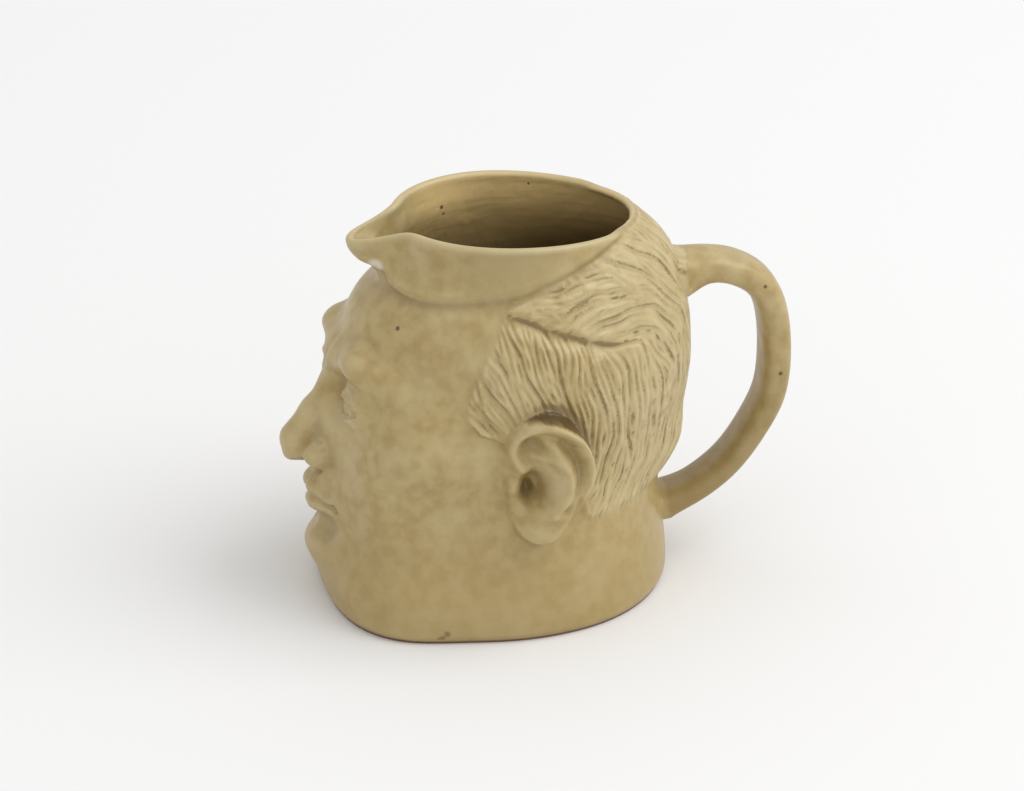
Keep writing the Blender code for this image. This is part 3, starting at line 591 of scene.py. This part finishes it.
def outer_surface(angle, z):
    """Radius of the outside of the jug, with ears, hair and the collar's step."""
    few = (slice(None, None, 4), slice(None, None, 4))
    rough = cast(head, angle[few], z[few], np.full(angle[few].shape, CAST_FROM), CAST_STEPS)
    r = cast(head, angle, z, refine(swollen(rough), *angle.shape), RECAST_STEPS)
    x, y = r * np.sin(angle), -r * np.cos(angle)
    relief = ears(x, y, z)
    r = r + relief + hair(angle, z) * smooth(1.2, 0.2, np.abs(relief))
    side = np.degrees(np.abs(angle))
    under_spout = np.exp(-((z - 105.0) / 3.6) ** 2) * smooth(52.0, 14.0, side)
    step = smooth(-1.4, 1.2, z - collar_edge(side))
    return r + COLLAR_STEP / PART * step - SPOUT_HOLLOW / PART * under_spout


def soften(r, passes):
    """Average each radius with its neighbours, round the jug and up and down."""
    for _ in range(passes):
        r = 0.5 * r + 0.25 * (np.roll(r, 1, axis=1) + np.roll(r, -1, axis=1))
        padded = np.concatenate([r[:1], r, r[-1:]])
        r = 0.5 * r + 0.25 * (padded[:-2] + padded[2:])
    return r


def column_angles(count):
    """Angles of the columns, closer together on the face and the ears."""
    fine = np.linspace(-math.pi, math.pi, 2001)
    side = np.degrees(np.abs(fine))
    weight = 1.0 + 0.25 * smooth(45, 15, side) + 0.35 * smooth(68, 78, side) * smooth(112, 100, side)
    total = np.concatenate([[0.0], np.cumsum(0.5 * (weight[1:] + weight[:-1]))])
    return np.interp(np.arange(count) / count, total / total[-1], fine)


def face_outwards(mesh):
    """Turn every face of a closed mesh outwards."""
    bm = bmesh.new()
    bm.from_mesh(mesh)
    bmesh.ops.recalc_face_normals(bm, faces=bm.faces)
    bm.to_mesh(mesh)
    bm.free()


def add(name, mesh):
    """Put a mesh in the scene as a named object."""
    thing = bpy.data.objects.new(name, mesh)
    bpy.context.scene.collection.objects.link(thing)
    return thing


def placed(r, angle, z):
    """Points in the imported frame, in metres."""
    return np.stack([r * np.sin(angle) * PART, -r * np.cos(angle) * PART + AXIS_Y, z * PART], -1)


def skin(name, rings):
    """A closed mesh through rings of points. A ring may have half as many points as the last."""
    points, faces, start = [], [], 0
    for n, ring in enumerate(rings):
        count = len(ring)
        points.append(ring)
        if n:
            before = len(rings[n - 1])
            a, b = start - before, start
            j = np.arange(count)
            k = (j + 1) % count
            if before == count:
                faces.extend(np.stack([a + j, a + k, b + k, b + j], -1).tolist())
            else:
                left, middle, right = a + 2 * j, a + 2 * j + 1, a + (2 * j + 2) % before
                faces.extend(np.stack([left, middle, b + j], -1).tolist())
                faces.extend(np.stack([middle, right, b + k, b + j], -1).tolist())
        start += count
    first = list(range(len(rings[0])))[::-1]
    last = list(range(start - len(rings[-1]), start))
    faces.extend([first, last])
    mesh = bpy.data.meshes.new(name)
    mesh.from_pydata(np.concatenate(points).tolist(), [], faces)
    face_outwards(mesh)
    return mesh


def foot_rings(r, angle):
    """The underside, from its middle out: a shallow recess, the flat ring and the foot's edge."""
    recess = FOOT_RECESS / PART
    inside = r - FOOT_RING / PART
    edges = [(inside * share, recess) for share in (0.3, 0.6, 0.85)]
    # a soft slope from the recess on to the ring, and the ring up to where the foot rounds off
    edges += [(inside - 0.9, recess), (inside - 0.2, recess * 0.5), (inside + 0.3, 0.0), (r - 1.2, 0.0)]
    return [placed(radius, angle, np.full(angle.shape, height)) for radius, height in edges]


def inner_wall(r, z, top):
    """Radii of the inner wall, a wall's thickness inside the outside's broad form."""
    lip = LIP / PART
    under_lip = smooth(0.0, LIP_TAPER / PART, top - z)
    thick = lip + (WALL / PART - lip) * under_lip
    few = (slice(None, None, 4), slice(None, None, 4))
    even = refine(soften(soften(r, 120)[few], 20), *r.shape)
    lean = np.hypot(1.0, np.gradient(even, axis=0) / np.gradient(z, axis=0))
    thick = thick * (1.0 + (np.minimum(lean, 1.5) - 1.0) * under_lip)
    inner = soften(np.minimum(even - thick, r - 0.86 * thick), 40)
    inner = inner + (soften(inner, 40) - inner) * smooth(0.0, 4.0, top - z)
    inner[-1] = r[-1] - lip
    return inner


def lip_rings(r, angle, top):
    """Rings of the half-round lip, between the outside's last ring and the inner wall's first."""
    half = LIP / PART / 2
    return [placed(r - half * (1 - math.cos(turn)), angle, top + half * math.sin(turn))
            for turn in np.linspace(0.0, math.pi, LIP_STEPS)[1:-1]]


def floor_rings(r, angle):
    """Rings of the fillet under the inner wall, and of the floor inwards from it."""
    fillet, floor = INNER_FILLET / PART, FLOOR / PART
    rings = []
    for turn in np.linspace(0.0, math.pi / 2, FILLET_STEPS):
        low = floor + fillet * (1 - math.sin(turn))
        rings.append(placed(r - fillet * (1 - math.cos(turn)), angle, np.full(angle.shape, low)))
    for share in (0.8, 0.6, 0.4, 0.2):
        rings.append(placed((r - fillet) * share, angle, np.full(angle.shape, floor)))
    return rings


def jug_rings():
    """Rings of the casting: underside, outside, lip, inner wall and floor.

    Returned with them are the angles of the outside's columns and its radii, row by row.
    """
    angle = column_angles(COLUMNS)
    top = rim_height(angle) - LIP / PART / 2
    z = top * np.linspace(0.0, 1.0, ROWS)[:, None]
    r = outer_surface(np.broadcast_to(angle, z.shape).copy(), z)
    rings = foot_rings(r[0], angle)
    rings += [placed(r[i], angle, z[i]) for i in range(ROWS)]
    rings += lip_rings(r[-1], angle, top)
    inner = inner_wall(r, z, top)
    # the inner wall's rows lie close together at the lip, and then on every sixth row
    lowest = int(np.searchsorted(z[:, 0], (FLOOR + INNER_FILLET) / PART))
    rows = [ROWS - 1, ROWS - 4] + list(range(ROWS - 8, lowest, -6))
    for n, i in enumerate(rows):
        thin = min(2 ** n, INNER_SHARE)
        rings.append(placed(inner[i][::thin], angle[::thin], z[i][::thin]))
    rings += floor_rings(inner[lowest][::INNER_SHARE], angle[::INNER_SHARE])
    return rings, angle, r


def wall_behind(x, z):
    """Y of the head's back at each x and height, found by walking forwards from behind."""
    y = np.full(x.shape, 80.0)
    for _ in range(50):
        d = head(np.stack([x / PART, y, z / PART], -1))
        y = y - np.clip(0.8 * d, 0.0, 10.0)
    return y * PART


def handle_path(steps):
    """Middle line of the handle in the plane x = 0, from its upper root to its lower one."""
    rise = HANDLE_HIGH - HANDLE_LOW
    far = HANDLE_REACH - HANDLE_THICK / 2
    start = float(wall_behind(np.zeros(1), np.full(1, HANDLE_HIGH))[0])
    end = float(wall_behind(np.zeros(1), np.full(1, HANDLE_LOW))[0])
    reach_high, reach_low = far - start, far - end
    points = [(start, HANDLE_HIGH)]
    for out, down in ((0.28, -0.02), (0.55, 0.0), (0.80, 0.065), (0.945, 0.175)):
        points.append((start + reach_high * out, HANDLE_HIGH - rise * down))
    points.append((far, HANDLE_HIGH - rise * 0.355))
    for out, down in ((0.965, 0.545), (0.81, 0.70), (0.59, 0.84), (0.31, 0.94)):
        points.append((end + reach_low * out, HANDLE_HIGH - rise * down))
    points.append((end, HANDLE_LOW))
    return smooth_line(points, steps)


def handle_ring(middle, tangent, thick, gain):
    """One cross-section: a rounded oblong across the handle's path."""
    turn = np.linspace(0.0, 2 * math.pi, HANDLE_SIDES, endpoint=False)
    across = np.sign(np.cos(turn)) * np.abs(np.cos(turn)) ** HANDLE_ROUND
    out = np.sign(np.sin(turn)) * np.abs(np.sin(turn)) ** HANDLE_ROUND
    side = (HANDLE_WIDTH / 2 + 0.5 * gain) * across
    normal = (thick / 2 + gain) * out
    return np.stack([side, middle[0] - tangent[1] * normal, middle[1] + tangent[0] * normal], -1)


def handle():
    """The loop handle, its two ends sunk halfway into the wall of the head."""
    path = handle_path(HANDLE_STEPS)
    tangent = np.gradient(path, axis=0)
    tangent = tangent / np.hypot(tangent[:, 0], tangent[:, 1])[:, None]
    run = np.concatenate([[0.0], np.cumsum(np.hypot(*np.diff(path, axis=0).T))])
    rings = []
    for i, (middle, direction) in enumerate(zip(path, tangent)):
        low = float(smooth(0.45, 0.8, run[i] / run[-1]))
        thick = HANDLE_THICK + (HANDLE_THIN - HANDLE_THICK) * low
        flare = ROOT_FLARE + (ROOT_FLARE_LOW - ROOT_FLARE) * low
        near_end = min(run[i], run[-1] - run[i])
        gain = flare * max(0.0, 1.0 - near_end / ROOT_LENGTH) ** 2
        rings.append(handle_ring(middle, direction, thick, gain))
    for ring in (rings[0], rings[-1]):
        ring[:, 1] = wall_behind(ring[:, 0], ring[:, 2]) - WALL / 2
    for ring in rings:
        ring[:, 1] += AXIS_Y
    return add("handle", skin("handle", rings))


def surface_marks(mesh, columns, r):
    """How the surface lies at each point of the mesh, for the glaze, with distances in parts, and where
    shade and light are painted on.
    """
    co = np.zeros(len(mesh.vertices) * 3, np.float32)
    mesh.vertices.foreach_get("co", co)
    x, y, z = co.reshape(-1, 3).T / PART
    y = y - AXIS_Y / PART
    angle = np.arctan2(x, -y)
    side = np.degrees(np.abs(angle))
    top = rim_height(angle)
    row_at = np.clip(z / top * (ROWS - 1), 0, ROWS - 1).astype(int)
    column_at = np.interp(angle, columns, np.arange(COLUMNS)).astype(int)
    at = (row_at, column_at)
    # how far a point lies inside the outside's radius: about 0 on the outside, more on the inner
    # wall, less on the handle
    sunk = r[at] - np.hypot(x, y)
    outside = np.where(sunk < -2.0, 0.0, smooth(2.2, 1.4, sunk))
    inner = smooth(1.5, 3.0, sunk)
    on_handle = smooth(2.0, 3.0, -sunk) * smooth(40.0, 50.0, y)
    # how far under the collar's edge and under the rim
    below = collar_edge(side) - z
    depth = top - z
    under = smooth(-0.3, 0.6, below) * smooth(3.6, 1.2, below) * smooth(150.0, 125.0, side)
    # hair, without the ears and what lies close round them
    by_ear = np.hypot((y - EAR_MIDDLE[0]) / 17.0, (z - EAR_MIDDLE[1]) / 25.0)
    hairy = hair_cover(np.degrees(angle), z) * smooth(0.85, 1.1, by_ear)
    hairy = hairy * smooth(1.0, 0.3, np.abs(ears(x, y, z)))
    fine = (r - soften(r, 30))[at]
    fine = fine * hairy + 0.35 * np.clip(fine, -0.5, 0.5) * (1.0 - hairy)
    broad = (soften(r, 12) - soften(r, 260))[at]
    return {"fine": fine * outside,
            "broad": broad * outside,
            # painted shade: a dark band under the collar's edge and on the handle's lower part
            "under": np.maximum(under * outside, on_handle * smooth(85.0, 30.0, z)),
            # painted shade on the collar's sides, darkest about 85 degrees round from the face
            "collar": smooth(1.0, -1.0, below) * outside * np.exp(-((side - 85.0) / 32.0) ** 2),
            # painted light: the hair paler towards the back of the head
            "hair_back_light": hairy * outside * smooth(105.0, 140.0, side),
            # painted shade inside the jug, darker deeper down and towards the back
            "inside": inner * smooth(18.0, 50.0, depth + 0.55 * y),
            # painted light on the upper inner wall, near the rim and away from the spout
            "upper": inner * smooth(45.0, 14.0, depth) * smooth(20.0, 50.0, side),
            "edge": smooth(2.4, 0.4, depth)}


def store(mesh, marks):
    """Keep named values on the mesh's points."""
    for name, values in marks.items():
        layer = mesh.attributes.new(name, "FLOAT", "POINT")
        layer.data.foreach_set("value", values.astype(np.float32))


# A mix node's sockets for colours
MIX_SHARE = 0
MIX_FIRST = 6
MIX_SECOND = 7
MIX_RESULT = 2


def fill(links, socket, value):
    """Give a socket another socket's output or a value of its own."""
    if isinstance(value, bpy.types.NodeSocket):
        links.new(value, socket)
    else:
        socket.default_value = value


def mix(nodes, links, share, first, second):
    """A colour between first and second, whose inputs may be sockets or values."""
    node = nodes.new("ShaderNodeMix")
    node.data_type = "RGBA"
    for at, value in ((MIX_SHARE, share), (MIX_FIRST, first), (MIX_SECOND, second)):
        fill(links, node.inputs[at], value)
    return node.outputs[MIX_RESULT]


def ramp(nodes, links, value, low, high):
    """Map a value to 0 below low and 1 above high."""
    node = nodes.new("ShaderNodeMapRange")
    node.interpolation_type = "SMOOTHSTEP"
    node.inputs["From Min"].default_value = low
    node.inputs["From Max"].default_value = high
    links.new(value, node.inputs["Value"])
    return node.outputs["Result"]


def times(nodes, links, value, factor):
    """Multiply by a number or another socket."""
    node = nodes.new("ShaderNodeMath")
    node.operation = "MULTIPLY"
    links.new(value, node.inputs[0])
    fill(links, node.inputs[1], factor)
    return node.outputs[0]


def noise(nodes, links, place, size, detail=3.0, roughness=0.5):
    """Noise whose blotches are about size metres across."""
    node = nodes.new("ShaderNodeTexNoise")
    node.inputs["Scale"].default_value = 1.0 / size
    node.inputs["Detail"].default_value = detail
    node.inputs["Roughness"].default_value = roughness
    links.new(place, node.inputs["Vector"])
    return node.outputs["Fac"]


def turning(nodes, links, place):
    """Places drawn out round the jug, so that noise on them looks like turning lines."""
    node = nodes.new("ShaderNodeVectorMath")
    node.operation = "MULTIPLY"
    links.new(place, node.inputs[0])
    node.inputs[1].default_value = TURNING_STRETCH
    return node.outputs["Vector"]


def bumps(nodes, links, value, depth, under=None):
    """Normals of shallow bumps, depth metres high, over others where they are given."""
    node = nodes.new("ShaderNodeBump")
    node.inputs["Strength"].default_value = BUMP_STRENGTH
    node.inputs["Distance"].default_value = depth
    links.new(value, node.inputs["Height"])
    if under is not None:
        links.new(under, node.inputs["Normal"])
    return node.outputs["Normal"]


def attribute(nodes, name):
    """A float stored on the mesh."""
    node = nodes.new("ShaderNodeAttribute")
    node.attribute_name = name
    return node.outputs["Fac"]


# Colours of the glaze, linear: the mottled ground, and its pale and its darker blotches
KHAKI = (0.455, 0.346, 0.152, 1.0)
CREAM = (0.600, 0.500, 0.285, 1.0)
TAN = (0.378, 0.270, 0.100, 1.0)
# pooled in grooves and hollows, and painted shade under the collar's edge and on the handle's lower
# part; painted shade deep inside; painted shade over the collar's sides; painted light on the upper
# inner wall
UMBER = (0.140, 0.084, 0.024, 1.0)
INSIDE_SHADE = (0.085, 0.048, 0.012, 1.0)
COLLAR_SHADE = (0.350, 0.268, 0.118, 1.0)
INNER_WALL_LIGHT = (0.760, 0.560, 0.250, 1.0)
# the unglazed foot ring, the specks, the chip, and the bald place under the spout
CLAY = (0.190, 0.095, 0.055, 1.0)
BURNT = (0.070, 0.038, 0.016, 1.0)
RUST = (0.210, 0.105, 0.045, 1.0)
BISQUE = (0.800, 0.700, 0.620, 1.0)

# Sizes of the glaze's blotches, waves, grain and turning lines, in metres
MOTTLE_SIZE = 0.0046
CLOUD_SIZE = 0.020
WAVE_SIZE = 0.0050
WAVE_DEPTH = 0.0015
GRAIN_SIZE = 0.0022
GRAIN_DEPTH = 0.0004
LINE_SIZE = 0.0016
TURNING_STRETCH = (0.06, 0.06, 1.0)
BUMP_STRENGTH = 0.25

# Heights between which painted shade darkens the jug towards the foot, and up to which its ring is bare
# clay
LOW_SHADE = (0.050, 0.012)
BARE_CLAY = (0.0011, 0.0006)

# Roughness where the mottle is darkest and lightest
SATIN = (0.31, 0.46)

# Small burnt specks, in metres about the jug's axis: x, y, z and radius
SPECKS = ((0.0223, -0.0392, 0.0992, 0.0011), (-0.0241, -0.0159, 0.1172, 0.0010),
          (-0.0249, -0.0152, 0.1146, 0.0007), (-0.0272, 0.0127, 0.1214, 0.0006),
          (0.0080, 0.0814, 0.0949, 0.0009), (0.0081, 0.0870, 0.0639, 0.0010))
# A small brown chip at the foot
CHIP = ((0.0474, -0.0291, 0.0040, 0.0015), (0.0470, -0.0305, 0.0026, 0.0013),
        (0.0471, -0.0318, 0.0022, 0.0010))
# The bare, pale place where the glaze has run off under the spout
BARE = (0.0056, -0.0428, 0.1133, 0.0034)


def spot(nodes, links, place, where):
    """1 at the middle of a small round spot and 0 outside it."""
    x, y, z, radius = where
    node = nodes.new("ShaderNodeVectorMath")
    node.operation = "DISTANCE"
    links.new(place, node.inputs[0])
    node.inputs[1].default_value = (x, y + AXIS_Y, z)
    return ramp(nodes, links, node.outputs["Value"], radius, 0.35 * radius)


def glaze_colour(nodes, links, place, mottle):
    """Mottled khaki, thin and pale on ridges, pooled and brown in hollows, with its small marks, and
    with painted shade and painted light.
    """
    height = nodes.new("ShaderNodeSeparateXYZ")
    links.new(place, height.inputs[0])
    height = height.outputs["Z"]
    cloud = noise(nodes, links, place, CLOUD_SIZE, 2.0, 0.5)
    lines = noise(nodes, links, turning(nodes, links, place), LINE_SIZE)
    lines = ramp(nodes, links, lines, 0.50, 0.70)
    fine, broad = attribute(nodes, "fine"), attribute(nodes, "broad")
    upper = attribute(nodes, "upper")
    # from the ground up: where each layer lies, how strong it is, and its colour
    layers = [(ramp(nodes, links, cloud, 0.42, 0.70), 0.35, CREAM),
              # painted shade on the collar's sides
              (attribute(nodes, "collar"), 0.70, COLLAR_SHADE),
              # painted light on the upper inner wall
              (upper, 0.85, INNER_WALL_LIGHT),
              # painted shade, darker towards the foot
              (ramp(nodes, links, height, *LOW_SHADE), 0.55, TAN),
              # painted light on the back of the hair
              (attribute(nodes, "hair_back_light"), 0.40, CREAM),
              (ramp(nodes, links, fine, 0.03, 0.30), 0.50, CREAM),
              (attribute(nodes, "edge"), 0.55, CREAM),
              (ramp(nodes, links, fine, -0.02, -0.42), 0.68, UMBER),
              (ramp(nodes, links, broad, -0.6, -4.0), 0.20, UMBER),
              # painted shade under the collar's edge and on the handle's lower part
              (attribute(nodes, "under"), 0.32, UMBER),
              (times(nodes, links, upper, lines), 0.35, TAN),
              # painted shade deep inside the jug
              (attribute(nodes, "inside"), 0.95, INSIDE_SHADE)]
    layers += [(spot(nodes, links, place, where), 0.85, BURNT) for where in SPECKS]
    layers += [(spot(nodes, links, place, where), 0.75, RUST) for where in CHIP]
    layers += [(spot(nodes, links, place, BARE), 0.75, BISQUE),
               (ramp(nodes, links, height, *BARE_CLAY), 1.0, CLAY)]
    colour = mix(nodes, links, ramp(nodes, links, mottle, 0.28, 0.68), TAN, KHAKI)
    for share, strength, layer in layers:
        colour = mix(nodes, links, times(nodes, links, share, strength), colour, layer)
    return colour


def glaze():
    """The jug's satin khaki glaze."""
    material = bpy.data.materials.new("khaki_glaze")
    material.use_nodes = True
    nodes, links = material.node_tree.nodes, material.node_tree.links
    shader = nodes["Principled BSDF"]
    place = nodes.new("ShaderNodeTexCoord").outputs["Object"]
    mottle = noise(nodes, links, place, MOTTLE_SIZE, 2.0, 0.45)
    links.new(glaze_colour(nodes, links, place, mottle), shader.inputs["Base Color"])
    rough = nodes.new("ShaderNodeMapRange")
    rough.inputs["To Min"].default_value = SATIN[0]
    rough.inputs["To Max"].default_value = SATIN[1]
    links.new(mottle, rough.inputs["Value"])
    links.new(rough.outputs["Result"], shader.inputs["Roughness"])
    shader.inputs["Specular IOR Level"].default_value = 0.4
    shader.inputs["Coat Weight"].default_value = 0.12
    shader.inputs["Coat Roughness"].default_value = 0.2
    waves = bumps(nodes, links, noise(nodes, links, place, WAVE_SIZE, 1.5, 0.4), WAVE_DEPTH)
    grain = noise(nodes, links, place, GRAIN_SIZE, 4.0, 0.6)
    links.new(bumps(nodes, links, grain, GRAIN_DEPTH, waves), shader.inputs["Normal"])
    return material


def jug():
    """The finished jug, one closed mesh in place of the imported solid."""
    rings, columns, r = jug_rings()
    body = add("toby_jug_glazed", skin("toby_jug_glazed", rings))
    # only the outside is thinned: the foot, the lip and the inner wall keep all their rings
    carved = body.vertex_groups.new(name="carved")
    first = sum(len(ring) for ring in foot_rings(r[0], columns))
    carved.add(list(range(first, first + COLUMNS * (ROWS - 2))), 1.0, "REPLACE")
    thin = body.modifiers.new("fewer faces", "DECIMATE")
    triangles = sum(len(face.vertices) - 2 for face in body.data.polygons)
    thin.ratio = TRIANGLES / triangles
    thin.vertex_group = carved.name
    union = body.modifiers.new("handle", "BOOLEAN")
    union.operation = "UNION"
    union.solver = "EXACT"
    union.object = handle()
    graph = bpy.context.evaluated_depsgraph_get()
    finished = bpy.data.meshes.new_from_object(body.evaluated_get(graph))
    bpy.data.objects.remove(union.object)
    body.modifiers.clear()
    body.vertex_groups.clear()
    body.data = finished
    finished.name = body.name
    finished.materials.clear()
    finished.materials.append(glaze())
    finished.shade_smooth()
    store(finished, surface_marks(finished, columns, r))
    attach(body, "root")
    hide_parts("toby_jug")


# The table and the light round it, in metres and watts
TABLE_COLOUR = (0.86, 0.86, 0.86, 1.0)
TABLE_HALF = 6.0
SKY_COLOUR = (1.0, 1.0, 0.998, 1.0)
SKY_STRENGTH = 0.79
LIGHT_PLACE = (0.55, 1.55, 2.10)
LIGHT_SIZE = 2.1
LIGHT_POWER = 35.0


def plain(name, colour, roughness):
    """A plain diffuse material for the floor."""
    material = bpy.data.materials.new(name)
    material.use_nodes = True
    shader = material.node_tree.nodes["Principled BSDF"]
    shader.inputs["Base Color"].default_value = colour
    shader.inputs["Roughness"].default_value = roughness
    shader.inputs["Specular IOR Level"].default_value = 0.1
    return material


def studio_floor():
    """A wide pale table."""
    mesh = bpy.data.meshes.new("floor")
    wide = TABLE_HALF
    mesh.from_pydata([(-wide, -wide, 0), (wide, -wide, 0), (wide, wide, 0), (-wide, wide, 0)], [],
                     [(0, 1, 2, 3)])
    floor = add("floor", mesh)
    floor.data.materials.append(plain("pale_table", TABLE_COLOUR, 0.6))


def area_light(name, place, size, power, target):
    """A soft square light that looks at a target."""
    lamp = bpy.data.lights.new(name, "AREA")
    lamp.size = size
    lamp.energy = power
    light = bpy.data.objects.new(name, lamp)
    light.location = place
    light.rotation_euler = (target - Vector(place)).to_track_quat("-Z", "Y").to_euler()
    bpy.context.scene.collection.objects.link(light)


def lights(target):
    """Soft light from all round, strongest from above."""
    world = bpy.data.worlds.new("studio")
    world.use_nodes = True
    sky = world.node_tree.nodes["Background"]
    sky.inputs["Color"].default_value = SKY_COLOUR
    sky.inputs["Strength"].default_value = SKY_STRENGTH
    bpy.context.scene.world = world
    area_light("overhead", LIGHT_PLACE, LIGHT_SIZE, LIGHT_POWER, target)


# The photograph's view: degrees round from the face and above the table, metres away, and the
# width of the picture at the jug
VIEW_AZIMUTH = 78.0
VIEW_ELEVATION = 26.5
VIEW_DISTANCE = 1.8
VIEW_WIDTH = 0.3235
VIEW_HEIGHT = 0.061
VIEW_ASIDE = 0.0016


def camera():
    """A long lens at the photograph's viewing angle. Returns the point it looks at."""
    azimuth, elevation = math.radians(VIEW_AZIMUTH), math.radians(VIEW_ELEVATION)
    flat = math.cos(elevation)
    back = Vector((math.sin(azimuth) * flat, -math.cos(azimuth) * flat, math.sin(elevation)))
    right = Vector((math.cos(azimuth), math.sin(azimuth), 0.0))
    up = back.cross(right)
    target = Vector((0.0, VIEW_ASIDE + AXIS_Y, VIEW_HEIGHT))
    lens = bpy.data.cameras.new("camera")
    lens.sensor_width = 36.0
    lens.lens = lens.sensor_width * VIEW_DISTANCE / VIEW_WIDTH
    lens.clip_start = 0.01
    view = bpy.data.objects.new("camera", lens)
    turn = Matrix((right, up, back)).transposed()
    view.matrix_world = Matrix.Translation(target + back * VIEW_DISTANCE) @ turn.to_4x4()
    bpy.context.scene.collection.objects.link(view)
    bpy.context.scene.camera = view
    bpy.context.scene.view_settings.view_transform = "Standard"
    return target


jug()
studio_floor()
lights(camera())
